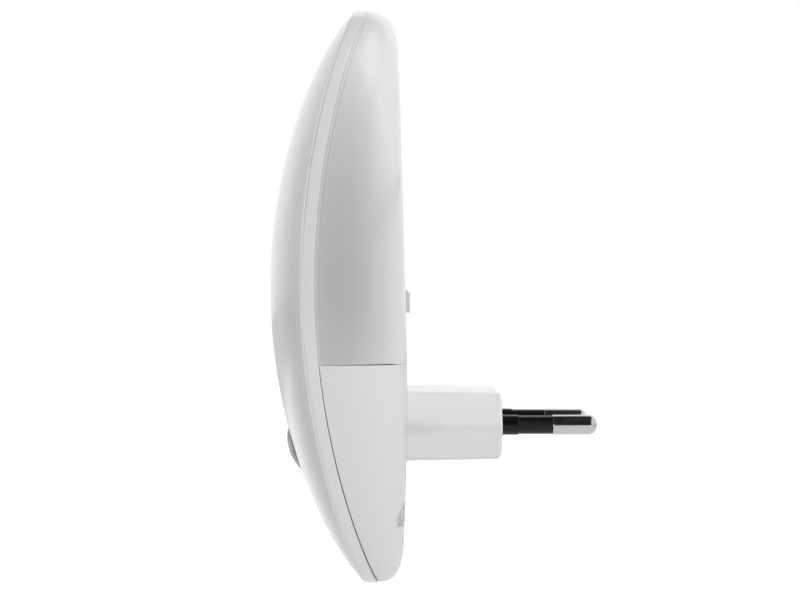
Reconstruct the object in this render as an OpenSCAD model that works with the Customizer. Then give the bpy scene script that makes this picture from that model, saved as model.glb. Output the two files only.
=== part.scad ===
// Plug-in night light: an oval lamp body carried on a two-pin plug, with a translucent upper
// rear half, a twilight sensor at the front and a slide switch at the back.
// Frame: the origin is the centre of the plug face, between the pins. +Y runs along the pins
// into the socket, +Z is up and +X is to the right as seen from the room. Sizes in millimetres.

/* [Lamp body] */
// Height of the oval body
body_height = 118; // [98:1:142]
// Width of the oval body
body_width = 54; // [45:1:65]
// Depth of the body, from its rear face to the front of the dome
body_depth = 28.1; // [24:0.1:34]
// Height of the pin axis above the lowest point of the body
pin_axis_height = 33.3; // [30:0.1:40]
// Wall of the shells
wall = 1.8; // [1.4:0.1:2.2]
// Width of the smooth band around the side of the front cover
band_width = 2.5; // [2:0.05:4]
// How far the rear shells stand inside the outline of the band
rear_step = 0.25; // [0.1:0.05:0.4]
// Parting gap between the band and the rear shells
parting_gap = 0.3; // [0.2:0.05:0.5]
// Height of the seam between diffuser and housing above the pin axis
seam_height = 12.7; // [11:0.1:15]
// Gap of that seam
seam_gap = 0.2; // [0.1:0.05:0.4]

/* [Plug] */
// Length of the plug body behind the rear face
stem_length = 19.1; // [17:0.1:24]
// Width of the plug body across its side ridges
stem_width = 35.3; // [34:0.1:37]
// Thickness of the plug body where it meets the lamp
stem_thickness = 14.05; // [13.5:0.05:14.5]
// Width of the flat on the top and the bottom of the plug body
stem_flat = 26.1; // [24:0.1:28]
// Diameter of the pins
pin_diameter = 4.0; // [3.9:0.05:4.8]
// Length of the pins in front of the plug face
pin_length = 19; // [18:0.1:21]
// Length of the insulating sleeve on each pin
sleeve_length = 10; // [9:0.1:11]
// Spacing of the pins at the plug face
pin_spacing = 18.6; // [18:0.1:19.2]
// Spacing of the pins at their tips
tip_spacing = 17.5; // [17:0.1:18]

/* [Sensor] */
// Height of the sensor lens against the pin axis
sensor_height = -5.5; // [-8:0.1:-3]
// Diameter of the lens where it leaves the cover
sensor_diameter = 9.7; // [8:0.1:11]
// How far the lens stands out of the cover
sensor_rise = 1.7; // [1:0.1:2.5]

/* [Switch] */
// Height of the switch knob above the pin axis
knob_height = 24.85; // [23:0.1:30]
// Length of the knob along its travel
knob_length = 4.7; // [4:0.1:6]
// Width of the knob
knob_width = 4.5; // [3:0.1:6]
// How far the knob stands out of the rear face
knob_rise = 0.9; // [0.6:0.1:1.6]
// Travel of the switch from off to on
knob_travel = 2.5; // [2:0.1:3]

/* [Screws] */
// Height of the housing screws against the pin axis
screw_height = -17.5; // [-19:0.1:-16]
// Spacing of the two housing screws
screw_spacing = 24; // [22:0.1:26]
// Diameter of the screw head recess
recess_diameter = 5.2; // [4.8:0.1:5.8]
// Thread diameter of the housing screws
screw_diameter = 2.9; // [2.5:0.1:3.2]

/* [Hidden] */

$fn = 48;                      // facets of a drawn circle, all of which become true curves
facets = 96;                   // points around the oval of each shell
eps = 0.01;                    // overlap of solids that are joined
over = 1;                      // overrun of a cut past the face that it leaves by
skin = 0.1;                    // clearance between pieces that are seated on each other
slip = 0.15;                   // clearance between pieces that slide or drop in

// The oval
half_w = body_width / 2;
half_h = body_height / 2;
centre_z = half_h - pin_axis_height;
top_z = centre_z + half_h;
bottom_z = -pin_axis_height;

// Depths of the body
rear_y = -stem_length;         // rear face, at the height of the plug
front_y = rear_y - body_depth; // front of the dome
dome_share = 0.278;            // bulge of the dome, as a share of the depth
dome_bulge = dome_share * body_depth;
dome_cut = 0.98;               // where the dome's ellipsoid is cut off: 1 would be at its equator
bow_share = 0.384;             // sweep of the rim towards both ends, as a share of the depth
rim_bow = bow_share * body_depth;
rim_apex_rise = 2.8;           // furthest forward point of the rim, above the oval's centre
rim_apex_z = centre_z + rim_apex_rise;
rear_bow = 1.45;               // how far the rear face falls forward over half its height
rear_power = 1.3;              // 1 for a straight fall, 2 for a round one
rear_apex_z = 5;               // height at which the rear face stands furthest back

// Lip of the cover, which reaches into the rear shells
lip_gap = 0.25;
lip_inset = rear_step + wall + lip_gap;
lip_thickness = 1.0;
lip_length = 1.4;

// Corner of the rear shells: a quarter of a superellipse from the rim to the rear face
corner_side = 10.3;            // its reach inwards at the sides
corner_end = 8.9;              // and at the two ends
corner_power = 2.5;

// Circuit board
board_depth = 10;              // from the rear face to the back of the board
board_back_y = rear_y - board_depth;
board_thickness = 1.6;
board_front_y = board_back_y - board_thickness;
board_side_gap = 1.6;          // between the cover's lip and the board, where it is tightest
pillar_wall = 1.1;
pillar_r = recess_diameter / 2 + pillar_wall;
board_low_gap = 1.2;           // between the screw pillars and the board
board_bottom_z = screw_height + pillar_r + board_low_gap;
board_high_gap = 17;           // between the top of the body and the board
board_top_z = top_z - board_high_gap;
board_corner = 3;
post_r = 2.0;
peg_r = 0.9;
peg_rise = 1.0;                // how far the pegs stand behind the board
peg_root = 3;                  // how deep they start inside their posts
post_inset = 3.2;              // from the board's edges to the posts
lip_in = lip_inset + lip_thickness;
board_width = 2 * (min(width_at(board_top_z), width_at(board_bottom_z)) - lip_in - board_side_gap);
post_x = board_width / 2 - post_inset;
post_zs = [board_bottom_z + post_inset, board_top_z - post_inset];
post_places = [for (x = [-post_x, post_x], z = post_zs) [x, z]];

// Plug body
stem_taper = 0.955;            // size of the section at the plug face against its root
stem_round = 2.2;              // corner radius at the flats
ridge_round = 0.8;             // corner radius at the side ridges
stem_edge = 0.9;               // rounding at the plug face
face_crown = 0.35;             // how far the plug face is domed
stem_wall = 2.4;
floor_y = -8.5;                // inner floor of the plug body
flange_rim = 1.8;              // how far the flange reaches past the opening, above and below
flange_width = 0.9 * stem_flat;
flange_height = stem_thickness + 2 * flange_rim;
flange_thickness = 1.4;
flange_lap = 0.4;              // how far the stem stops short of the flange's front

// Pins, in their own axis: 0 is the plug face
pin_r = pin_diameter / 2;
core_r = 1.35;                 // pin under the sleeve
collar_length = 3.3;           // thick part of the sleeve at the plug face
collar_slope = 0.2;            // run of the step down from it
sleeve_step = 0.16;             // how much thinner the sleeve is than the bare pin, in radius
sleeve_r = pin_r - sleeve_step;
sleeve_root = -5;              // where the sleeve starts inside the plug body
tip_round = 1.7;
tail_r = 1.2;                  // tail of the pin inside the plug body
tail_y = -12.8;
rivet_r = 1.9;                 // riveted head that holds the contact strip
rivet_length = 0.6;
pin_tilt = atan((pin_spacing - tip_spacing) / 2 / pin_length);

// Contact strips
strip_thickness = 0.6;
strip_width = 3.2;
eyelet_r = 2.6;
strip_lap = 0.2;               // how far the strip's leg reaches into its eyelet

// Sensor
lens_r = sensor_diameter / 2;
lens_sphere_r = (lens_r * lens_r + sensor_rise * sensor_rise) / (2 * sensor_rise);
lens_flange_lap = 1.1;
lens_flange_r = lens_r + lens_flange_lap;
lens_flange = 1.0;
seat_rim = 0.5;
seat_r = lens_flange_r + seat_rim; // boss behind the cover, which the lens flange seats on
seat_depth = 1.4;
shroud_r = 3.9;
shroud_bore_r = 3.1;
shroud_gap = 3.0;              // between the lens and the shroud
cell_gap = 1.0;                // between the photocell and the board
cell_r = 2.5;
cell_thickness = 1.6;

// Switch
knob_flange = 0.9;
knob_lap = 1.2;                // how far the knob's flange covers the ends of its slot
track_depth = 0.45;            // flat track milled into the inside of the rear wall
knob_socket = 2.2;
socket_w = 4.2;
lever_w = 1.6;
case_size = [6.4, 3.6, 9.6];   // metal case, X, Y, Z
case_wall = 0.4;
lever_foot = [4.4, 1.0, 3.6];
lever_entry = 1.8;             // how far the lever reaches into the knob's socket
socket_depth = 2.0;
knob_flange_side = 1.5;        // how far the flange passes the knob at either side
head_top = [0.7, 1.0];         // chamfers of the head, in Y and Z: the top one
head_low = [0.3, 0.4];         // and the bottom one

// Screws
recess_depth = 4.2;
recess_floor_y = rear_y - recess_depth;
head_r = 2.3;
head_height = 1.7;
screw_length = 9.2;
pilot_depth = 3.8;
thread_depth = 0.35;
cross = [2.6, 0.6];            // arms of the cross recess
cross_depth = 1.0;
pillar_end_y = board_back_y - 0.2;
pilot_bite = 0.25;             // how much smaller the pilot hole is than the thread, in radius
pilot_r = screw_diameter / 2 - pilot_bite;
boss_step = 0.4;               // how much thinner the cover's bosses are than the pillars
boss_end_y = pillar_end_y - skin;

// ---- Surfaces of the body -------------------------------------------------------------------

// How far the rim has swept back at height z
function sweep(z) = rim_bow * pow((z - rim_apex_z) / half_h, 2);
// Y of the edge between dome and band
function crease_y(z) = front_y + dome_bulge + sweep(z);
// Y of the rear face
function back_y(z) = rear_y - rear_bow * pow(abs(z - rear_apex_z) / half_h, rear_power);
// Height of a cut-off ellipsoid, from 1 at its top to 0 at its edge
function drop(t) = sqrt(1 - pow(dome_cut * t, 2));
function cap(t) = (drop(t) - drop(1)) / (1 - drop(1));
// Y of the dome at a point, where reach is 0 at its centre and 1 on the outline
function reach(x, z) = norm([x / half_w, (z - centre_z) / half_h]);
function dome_y(x, z) = crease_y(z) - dome_bulge * cap(min(1, reach(x, z)));
// Y of the rim that cover and rear shells share, at an angle around the oval
function rim_y(a) = crease_y(centre_z + half_h * sin(a)) + band_width;
// Half of the body's width at height z
function width_at(z) = half_w * sqrt(1 - pow((z - centre_z) / half_h, 2));

// X and Z on an oval with the given half axes
function oval(ax, az, a) = [ax * cos(a), centre_z + az * sin(a)];
function angles() = [for (i = [0:facets - 1]) 360 * i / facets];

// One ring of the dome, pushed back by a wall
function dome_ring(k, inset, back) = [
    for (a = angles())
        let (p = oval((half_w - inset) * k, (half_h - inset) * k, a))
        [p[0], dome_y(p[0], p[1]) + back, p[1]]
];

// One ring at the rim, inset from the outline and moved back in Y
function rim_ring(inset, back) = [
    for (a = angles())
        let (p = oval(half_w - inset, half_h - inset, a))
        [p[0], rim_y(a) + back, p[1]]
];

// One ring of the rear shell's corner: t = 0 at the rim, t = 90 on the rear face
function corner_ring(t, inset, depth_cut) =
    let (c = pow(cos(t), 2 / corner_power), s = pow(sin(t), 2 / corner_power))
    [
        for (a = angles())
            let (ax = half_w - corner_side + (corner_side - inset) * c)
            let (az = half_h - corner_end + (corner_end - inset) * c)
            let (p = oval(ax, az, a), y0 = rim_y(a) + parting_gap)
            [p[0], y0 + (back_y(p[1]) - depth_cut - y0) * s, p[1]]
    ];

// One ring of the flat rear face
function face_ring(k, depth_cut) = [
    for (a = angles())
        let (p = oval((half_w - corner_side) * k, (half_h - corner_end) * k, a))
        [p[0], back_y(p[1]) - depth_cut, p[1]]
];

// Closed solid through a list of rings, with a point at either end. Its skin starts at the first
// point and runs towards -Y, or towards +Y with forward set
module loft(first, rings, last, forward = false) {
    n = len(rings[0]);
    points = concat([first], [for (ring = rings) each ring], [last]);
    end = len(points) - 1;
    base = end - n;
    cap_a = [for (j = [0:n - 1]) [0, 1 + j, 1 + (j + 1) % n]];
    cap_b = [for (j = [0:n - 1]) [end, base + (j + 1) % n, base + j]];
    sides = [
        for (i = [0:len(rings) - 2], j = [0:n - 1])
            let (k = (j + 1) % n, p = 1 + i * n, q = p + n)
            each [[p + j, q + j, q + k], [p + j, q + k, p + k]]
    ];
    faces = concat(cap_a, sides, cap_b);
    polyhedron(points = points, faces = forward ? [for (f = faces) [f[2], f[1], f[0]]] : faces);
}

dome_steps = [0.2, 0.4, 0.57, 0.71, 0.82, 0.9, 0.96, 1];
dome_steps_in = [1, 0.92, 0.78, 0.57, 0.3];
corner_steps = [90, 72, 55, 40, 27, 16, 7, 0];
corner_steps_in = [0, 18, 40, 64, 90];

// The front cover with its lip, before anything is added or cut
module cover_shell() {
    rings = concat(
        [for (k = dome_steps) dome_ring(k, 0, 0)],
        [rim_ring(0, 0), rim_ring(lip_inset, 0), rim_ring(lip_inset, lip_length),
         rim_ring(lip_in, lip_length)],
        [for (k = dome_steps_in) dome_ring(k, lip_in, wall)]);
    loft([0, dome_y(0, centre_z), centre_z], rings, [0, dome_y(0, centre_z) + wall, centre_z], true);
}

// The whole rear cup, of which the diffuser and the housing are the two halves
module rear_cup() {
    rings = concat(
        [face_ring(0.5, 0)],
        [for (t = corner_steps) corner_ring(t, rear_step, 0)],
        [for (t = corner_steps_in) corner_ring(t, rear_step + wall, wall)],
        [face_ring(0.5, wall)]);
    loft([0, back_y(centre_z), centre_z], rings, [0, back_y(centre_z) - wall, centre_z]);
}

// Solid space of the body, down to an inset in its rear shell, which trims posts and pillars
module body_core(inset = wall / 2) {
    rings = concat(
        [for (k = [0.5, 0.85, 0.97]) dome_ring(k, wall / 2, wall / 2)],
        [rim_ring(lip_inset + lip_thickness / 2, 0)],
        [for (t = [0, 30, 60, 90]) corner_ring(t, rear_step + inset, inset)]);
    first = [0, dome_y(0, centre_z) + wall / 2, centre_z];
    loft(first, rings, [0, back_y(centre_z) - inset, centre_z], true);
}

// Turns a piece drawn along +Z so that it points along +Y
module along_y() {
    rotate([-90, 0, 0]) children();
}

// Cylinder from y0 to y1
module rod_y(r, y0, y1, x = 0, z = 0) {
    translate([x, min(y0, y1), z]) along_y() cylinder(r = r, h = abs(y1 - y0));
}

// Box with its middle at x, z and its two ends at y0 and y1
module block_y(w, h, y0, y1, x = 0, z = 0) {
    translate([x - w / 2, min(y0, y1), z - h / 2]) cube([w, abs(y1 - y0), h]);
}

// Places of the housing screws
screw_places = [for (x = [-screw_spacing / 2, screw_spacing / 2]) [x, screw_height]];

// Sensor axis: normal to the dome at the sensor
slope_step = 0.5;
sensor_tilt = atan((dome_y(0, sensor_height + slope_step) - dome_y(0, sensor_height - slope_step))
                   / (2 * slope_step));
sensor_y = dome_y(0, sensor_height);

// Draws children on the sensor axis, where z = 0 is the cover's face and +z looks outwards
module at_sensor() {
    translate([0, sensor_y, sensor_height]) rotate([90 - sensor_tilt, 0, 0]) children();
}

// ---- Shells ---------------------------------------------------------------------------------

// White front cover: dome, side band, lip, board posts, screw bosses and sensor seat
module front_cover() {
    seat = wall + seat_depth;
    color("white") difference() {
        union() {
            cover_shell();
            intersection() {
                body_core(wall + lip_gap);
                union() {
                    for (p = post_places) rod_y(post_r, front_y, board_front_y - skin, p[0], p[1]);
                    for (p = screw_places) rod_y(pillar_r - boss_step, front_y, boss_end_y, p[0], p[1]);
                    at_sensor() translate([0, 0, -seat]) cylinder(r = seat_r, h = seat);
                }
            }
            for (p = post_places)
                rod_y(peg_r, board_front_y - peg_root, board_back_y + peg_rise, p[0], p[1]);
        }
        at_sensor() translate([0, 0, -seat - over]) cylinder(r = lens_r + skin, h = seat + 2 * over);
        for (p = screw_places) {
            rod_y(pilot_r, boss_end_y - pilot_depth, boss_end_y + eps, p[0], p[1]);
            rod_y(pillar_r + slip, boss_end_y, rear_y, p[0], p[1]);
        }
    }
}

// Half of the rear cup, above or below the seam
module cup_half(z0, z1) {
    intersection() {
        rear_cup();
        translate([-half_w, front_y, z0]) cube([2 * half_w, body_depth + over, z1 - z0]);
    }
}

slot_length = knob_length + knob_travel + 2 * slip;
slot_z = knob_height + knob_travel / 2;
knob_flange_length = knob_length + 2 * (knob_travel + knob_lap);
track_length = knob_flange_length + knob_travel + 2 * slip;
track_spare = 0.5;             // play of the flange at either side
track_width = knob_width + 2 * (knob_flange_side + track_spare);
track_y = back_y(knob_height) - wall + track_depth;

// Tabs of the diffuser, which go down behind the housing
tab_places = [-7.5, 7.5];
tab_width = 5;
tab_thickness = 1.0;
tab_reach = 2.6;               // how far they go down, and how far up they are rooted
tab_root = 0.5;

// Translucent upper half of the rear shell, with tabs behind the housing and the knob's slot
module diffuser() {
    low = seam_height + seam_gap / 2;
    tab_y = back_y(seam_height) - wall - slip;
    tab_top = low + tab_reach + tab_root;
    web_y = tab_y + slip + wall / 2;
    color("gainsboro", 0.85) difference() {
        union() {
            cup_half(low, top_z + over);
            for (x = tab_places) {
                translate([x - tab_width / 2, tab_y - tab_thickness, low - tab_reach])
                    cube([tab_width, tab_thickness, tab_top - low + tab_reach]);
                translate([x - tab_width / 2, tab_y - eps, low])
                    cube([tab_width, web_y - tab_y, tab_top - low]);
            }
        }
        block_y(knob_width + 2 * slip, slot_length, track_y - wall, rear_y + over, 0, slot_z);
        block_y(track_width, track_length, track_y - wall, track_y, 0, slot_z);
    }
}

// Stiffening ribs of the housing, between the screw pillars
rib_places = [-7, 0, 7];
rib_thickness = 1.2;
rib_height = 6;
rib_depth = 4.5;               // from the rear face
rib_drop = 2;                  // below the screws
rib_z = screw_height - rib_drop;
opening_depth = 3 * wall;      // reaches the wall where it turns forward beside the plug

// White lower half of the rear shell, with the plug opening, screw pillars and ribs
module rear_housing() {
    color("white") difference() {
        union() {
            cup_half(bottom_z - over, seam_height - seam_gap / 2);
            intersection() {
                body_core();
                union() {
                    for (p = screw_places) rod_y(pillar_r, pillar_end_y, rear_y, p[0], p[1]);
                    for (x = rib_places)
                        block_y(rib_thickness, rib_height, rear_y - rib_depth, rear_y, x, rib_z);
                }
            }
        }
        along_y() translate([0, 0, rear_y - opening_depth])
            linear_extrude(opening_depth + over) stem_section(slip);
        block_y(flange_width + 2 * slip, flange_height + 2 * slip, stem_root_y - slip, flange_y + eps);
        for (p = screw_places) {
            rod_y(recess_diameter / 2, recess_floor_y, rear_y + over, p[0], p[1]);
            rod_y(screw_diameter / 2 + slip, pillar_end_y - eps, recess_floor_y + eps, p[0], p[1]);
        }
    }
}

// ---- Plug -----------------------------------------------------------------------------------

// Points of a round corner at p, between the directions of a and b
function corner_points(p, a, b, r, steps) =
    let (u = (a - p) / norm(a - p), v = (b - p) / norm(b - p))
    let (half = acos(u * v) / 2, run = r / tan(half), c = p + (u + v) / norm(u + v) * r / sin(half))
    let (s = p + u * run - c, e = p + v * run - c, a0 = atan2(s[1], s[0]))
    let (turn = (atan2(e[1], e[0]) - a0 + 540) % 360 - 180)
    [for (i = [0:steps]) c + r * [cos(a0 + turn * i / steps), sin(a0 + turn * i / steps)]];

stem_corners = [
    [stem_width / 2, 0], [stem_flat / 2, stem_thickness / 2], [-stem_flat / 2, stem_thickness / 2],
    [-stem_width / 2, 0], [-stem_flat / 2, -stem_thickness / 2], [stem_flat / 2, -stem_thickness / 2]
];

// Outline of the plug body's root: a flat hexagon with a ridge at either side
function stem_outline() = [
    for (i = [0:5])
        let (r = i % 3 == 0 ? ridge_round : stem_round)
        each corner_points(stem_corners[i], stem_corners[(i + 5) % 6], stem_corners[(i + 1) % 6], r, 4)
];

// The section as a flat shape, grown by a clearance on each side
module stem_section(grow) {
    k = [(stem_width + 2 * grow) / stem_width, (stem_thickness + 2 * grow) / stem_thickness];
    polygon([for (p = stem_outline()) [p[0] * k[0], p[1] * k[1]]]);
}

// A ring of the plug body at y, scaled and drawn in by an edge
function stem_ring(y, k, inset) = [
    for (p = stem_outline())
        [p[0] * (k - 2 * inset / stem_width), y, p[1] * (k - 2 * inset / stem_thickness)]
];

// Scale of the section at y
function taper_at(y) = 1 - (1 - stem_taper) * (y - rear_y) / stem_length;

// Rear of the flange, which lies against the inside of the housing's wall
flange_y = back_y(-stem_thickness / 2 - flange_rim) - wall - skin;
stem_root_y = flange_y - flange_thickness;
edge_steps = [0, 30, 60, 90];
crown_share = [0.25, 0.5];     // how far in front of the dome's height, and how large, its ring is

// Plug body: tapered hexagonal stem with a flange inside the housing and a pocket for the pins
module plug_body() {
    face_y = -face_crown;
    rings = concat(
        [stem_ring(stem_root_y + flange_lap, 1, 0), stem_ring(rear_y, 1, 0)],
        [for (t = edge_steps)
            let (y = face_y - stem_edge * (1 - sin(t)))
            stem_ring(y, taper_at(y), stem_edge * (1 - cos(t)))],
        [stem_ring(face_y * crown_share[0], crown_share[1], 0)]);
    pocket = floor_y - stem_root_y + over;
    color("whitesmoke") difference() {
        union() {
            loft([0, stem_root_y + flange_lap, 0], rings, [0, 0, 0], true);
            block_y(flange_width, flange_height, stem_root_y, flange_y);
        }
        along_y() translate([0, 0, stem_root_y - over]) linear_extrude(pocket) stem_section(-stem_wall);
        for (side = [-1, 1]) on_pin(side) {
            rod_y(pin_r, sleeve_root, over);
            rod_y(tail_r, tail_y, sleeve_root + eps);
        }
    }
}

// Draws children on a pin's own axis, with y = 0 at the plug face
module on_pin(side) {
    translate([side * pin_spacing / 2, 0, 0]) rotate([0, 0, side * pin_tilt]) children();
}

// Pin: riveted tail, core under the sleeve and a bare end with a domed tip
module pin(side) {
    bare_y = sleeve_length;
    dome = [for (t = [0:15:90]) [pin_r - tip_round * (1 - cos(t)), pin_length - tip_round * (1 - sin(t))]];
    profile = concat(
        [[0, tail_y - rivet_length], [rivet_r, tail_y - rivet_length], [rivet_r, tail_y],
         [tail_r, tail_y], [tail_r, sleeve_root], [core_r, sleeve_root], [core_r, bare_y],
         [pin_r, bare_y]],
        dome, [[0, pin_length]]);
    color("silver") on_pin(side) along_y() rotate_extrude() polygon(profile);
}

// Insulating sleeve, with a thicker collar at the plug face
module pin_sleeve(side) {
    profile = [
        [core_r, sleeve_root], [pin_r, sleeve_root], [pin_r, collar_length - collar_slope],
        [sleeve_r, collar_length], [sleeve_r, sleeve_length], [core_r, sleeve_length]
    ];
    color("black") on_pin(side) along_y() rotate_extrude() polygon(profile);
}

// Brass strip from a pin's tail, through the flange, to the board
module contact_strip(side) {
    end_y = tail_y + strip_thickness;
    leg_x = -side * (eyelet_r - strip_lap);
    color("goldenrod") on_pin(side) difference() {
        union() {
            rod_y(eyelet_r, tail_y, end_y);
            block_y(strip_thickness, strip_width, board_back_y + skin, end_y, leg_x);
        }
        rod_y(tail_r, tail_y - over, end_y + over);
    }
}

// ---- Electronics ----------------------------------------------------------------------------

leg_r = 0.3;
leg_out = 0.4;                 // how far the legs stand behind the board
side_x = board_width / 4;      // columns of the larger components, either side of the middle
low_z = (board_bottom_z + knob_height) / 2 + 3;
row_pitch = 15;
high_z = low_z + row_pitch;
front_seat_y = board_front_y - skin;
film_face = [6, 13];
film_room = 1.0;               // between the capacitor and the cover
film_corners = [for (x = [-0.5, 0.5], z = [-0.5, 0.5])
    dome_y(-side_x + x * film_face[0], low_z + z * film_face[1])];
film_front_y = max(film_corners) + wall + film_room;
film_pitch = 9;
film_legs = [for (s = [-0.5, 0.5]) [-side_x, low_z + s * film_pitch]];
can_r = 4;
can_height = 8.9;
can_pitch = 2.5;
can_legs = [for (s = [-0.5, 0.5]) [side_x, low_z + s * can_pitch]];
fuse_r = 1.4;
fuse_length = 6.6;
fuse_lift = 0.3;               // between the resistor and the board
fuse_pitch = 9.8;
fuse_legs = [for (s = [-0.5, 0.5]) [side_x, high_z + s * fuse_pitch]];
cell_pitch = 2.8;
cell_legs = [for (s = [-0.5, 0.5]) [s * cell_pitch, sensor_height]];
leg_places = concat(film_legs, can_legs, fuse_legs, cell_legs);

// Legs through the board, from y0 forward of it
module legs(places, y0) {
    for (p = places) rod_y(leg_r, y0, board_back_y + leg_out, p[0], p[1]);
}

// Circuit board with round corners and holes for the pegs and the legs
module circuit_board() {
    h = board_top_z - board_bottom_z;
    mid_z = (board_top_z + board_bottom_z) / 2;
    y0 = board_front_y;
    y1 = board_back_y;
    color("seagreen") difference() {
        along_y() translate([0, -mid_z, y0]) linear_extrude(board_thickness)
            offset(r = board_corner) square([board_width - 2 * board_corner, h - 2 * board_corner], true);
        for (p = post_places) rod_y(peg_r + slip, y0 - over, y1 + over, p[0], p[1]);
        for (p = leg_places) rod_y(leg_r + skin, y0 - over, y1 + over, p[0], p[1]);
    }
}

led_size = [3.5, 2.8];
led_base = 0.9;
led_lens_r = 1.1;
led_lens_rise = 0.25;
led_edge_gap = 6;              // from the board's side edge to the middle of an LED
led_x = board_width / 2 - led_edge_gap;
led_knob_gap = 14;             // between the knob's middle and the lowest pair
led_top_gap = 6;               // between the board's top edge and the highest pair
led_first_z = knob_height + led_knob_gap;
led_pitch = (board_top_z - led_first_z - led_top_gap) / 2;

// Six LEDs on the back of the board, facing the diffuser
module leds() {
    lens_y = board_back_y + led_base;
    color("khaki") for (x = [-led_x, led_x], i = [0:2]) {
        z = led_first_z + i * led_pitch;
        block_y(led_size[0], led_size[1], board_back_y, lens_y, x, z);
        rod_y(led_lens_r, lens_y - eps, lens_y + led_lens_rise, x, z);
    }
}

chip_edge_gap = 4.2;           // from the board's side edge to the middle of the chip
chip_x = chip_edge_gap - board_width / 2;
chip_size = [3.9, 1.6, 4.9];
chip_leg = [6, 0.5, 0.42];     // both legs of a pair and what joins them
chip_pitch = 1.27;

// Driver chip with eight legs, beside the switch
module driver_chip() {
    back_y = board_back_y + chip_size[1];
    color("dimgray") union() {
        block_y(chip_size[0], chip_size[2], board_back_y + skin, back_y, chip_x, knob_height);
        for (i = [-1.5:1:1.5])
            block_y(chip_leg[0], chip_leg[2], board_back_y, board_back_y + chip_leg[1], chip_x,
                    knob_height + chip_pitch * i);
    }
}

resistor_step = 2.5;           // from the column of the larger components to their middle
resistor_x = side_x + resistor_step;
resistor_size = [3.2, 0.6, 1.6];
resistor_pitch = 3;

// Small resistors on the other side of the switch
module chip_resistors() {
    color("slategray") for (i = [-1.5:1:1.5])
        block_y(resistor_size[0], resistor_size[2], board_back_y, board_back_y + resistor_size[1],
                resistor_x, knob_height + resistor_pitch * i);
}

// Boxed film capacitor that drops the mains voltage
module film_capacitor() {
    color("goldenrod") union() {
        block_y(film_face[0], film_face[1], film_front_y, front_seat_y, -side_x, low_z);
        legs(film_legs, front_seat_y - over);
    }
}

// Round electrolytic capacitor
module smoothing_capacitor() {
    color("midnightblue") union() {
        rod_y(can_r, front_seat_y - can_height, front_seat_y, side_x, low_z);
        legs(can_legs, front_seat_y - over);
    }
}

bridge_size = [4, 1.7, 4.8];
bridge_leg = [6.4, 0.6, 0.7];  // both legs of a pair and what joins them
bridge_pitch = 2.54;

// Bridge rectifier with four legs
module bridge_rectifier() {
    color("dimgray") union() {
        block_y(bridge_size[0], bridge_size[2], front_seat_y - bridge_size[1], front_seat_y,
                -side_x, high_z);
        for (s = [-0.5, 0.5])
            block_y(bridge_leg[0], bridge_leg[2], board_front_y - bridge_leg[1], board_front_y, -side_x,
                    high_z + s * bridge_pitch);
    }
}

// Fusible resistor lying on the board, on two bent leads
module fuse_resistor() {
    lead_y = board_front_y - fuse_r - fuse_lift;
    color("tan") union() {
        translate([side_x, lead_y, high_z - fuse_length / 2]) cylinder(r = fuse_r, h = fuse_length);
        translate([side_x, lead_y, high_z - fuse_pitch / 2]) cylinder(r = leg_r, h = fuse_pitch);
        for (p = fuse_legs) translate([p[0], lead_y, p[1]]) sphere(r = leg_r);
        legs(fuse_legs, lead_y);
    }
}

// ---- Sensor ---------------------------------------------------------------------------------

lens_seat_z = -wall - seat_depth;

// Grey lens of the twilight sensor, held by its flange behind the cover
module sensor_lens() {
    drop = lens_sphere_r - sensor_rise;
    color("gray") at_sensor() union() {
        translate([0, 0, lens_seat_z - skin - lens_flange]) cylinder(r = lens_flange_r, h = lens_flange);
        translate([0, 0, lens_seat_z - skin - eps]) cylinder(r = lens_r, h = skin + eps - lens_seat_z);
        intersection() {
            translate([0, 0, -drop]) sphere(r = lens_sphere_r);
            translate([0, 0, -eps]) cylinder(r = lens_r, h = sensor_rise + over);
        }
    }
}

shroud_front_y = sensor_y + wall + seat_depth + lens_flange + shroud_gap;

// Black tube that keeps the lamp's own light from the photocell
module sensor_shroud() {
    color("black") difference() {
        rod_y(shroud_r, shroud_front_y, board_front_y - skin, 0, sensor_height);
        rod_y(shroud_bore_r, shroud_front_y - over, board_front_y + over, 0, sensor_height);
    }
}

// Photocell disc on two legs
module photocell() {
    disc_y = board_front_y - cell_gap - cell_thickness;
    color("firebrick") union() {
        rod_y(cell_r, disc_y, disc_y + cell_thickness, 0, sensor_height);
        legs(cell_legs, disc_y + cell_thickness / 2);
    }
}

// ---- Switch ---------------------------------------------------------------------------------

case_y = board_back_y + case_size[1];
case_floor_y = board_back_y + 1.0;
window_width = lever_w + 2 * slip;
window_length = lever_w + knob_travel + 2 * slip;

// Metal case of the slide switch, open at the back for its lever
module switch_case() {
    inner = [case_size[0] - 2 * case_wall, case_size[2] - 2 * case_wall];
    color("silver") difference() {
        block_y(case_size[0], case_size[2], board_back_y, case_y, 0, slot_z);
        block_y(inner[0], inner[1], case_floor_y, case_y - case_wall, 0, slot_z);
        block_y(window_width, window_length, case_floor_y, case_y + over, 0, slot_z);
    }
}

knob_seat_y = track_y - slip;
knob_inner_y = knob_seat_y - knob_flange;
socket_floor_y = knob_inner_y - knob_socket;

// Lever that the knob carries: a foot inside the case and a stalk in the knob's socket
module switch_lever() {
    foot_top = case_y - case_wall - slip;
    color("black") union() {
        block_y(lever_foot[0], lever_foot[2], foot_top - lever_foot[1], foot_top, 0, knob_height);
        block_y(lever_w, lever_w, foot_top - eps, socket_floor_y + lever_entry, 0, knob_height);
    }
}

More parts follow.
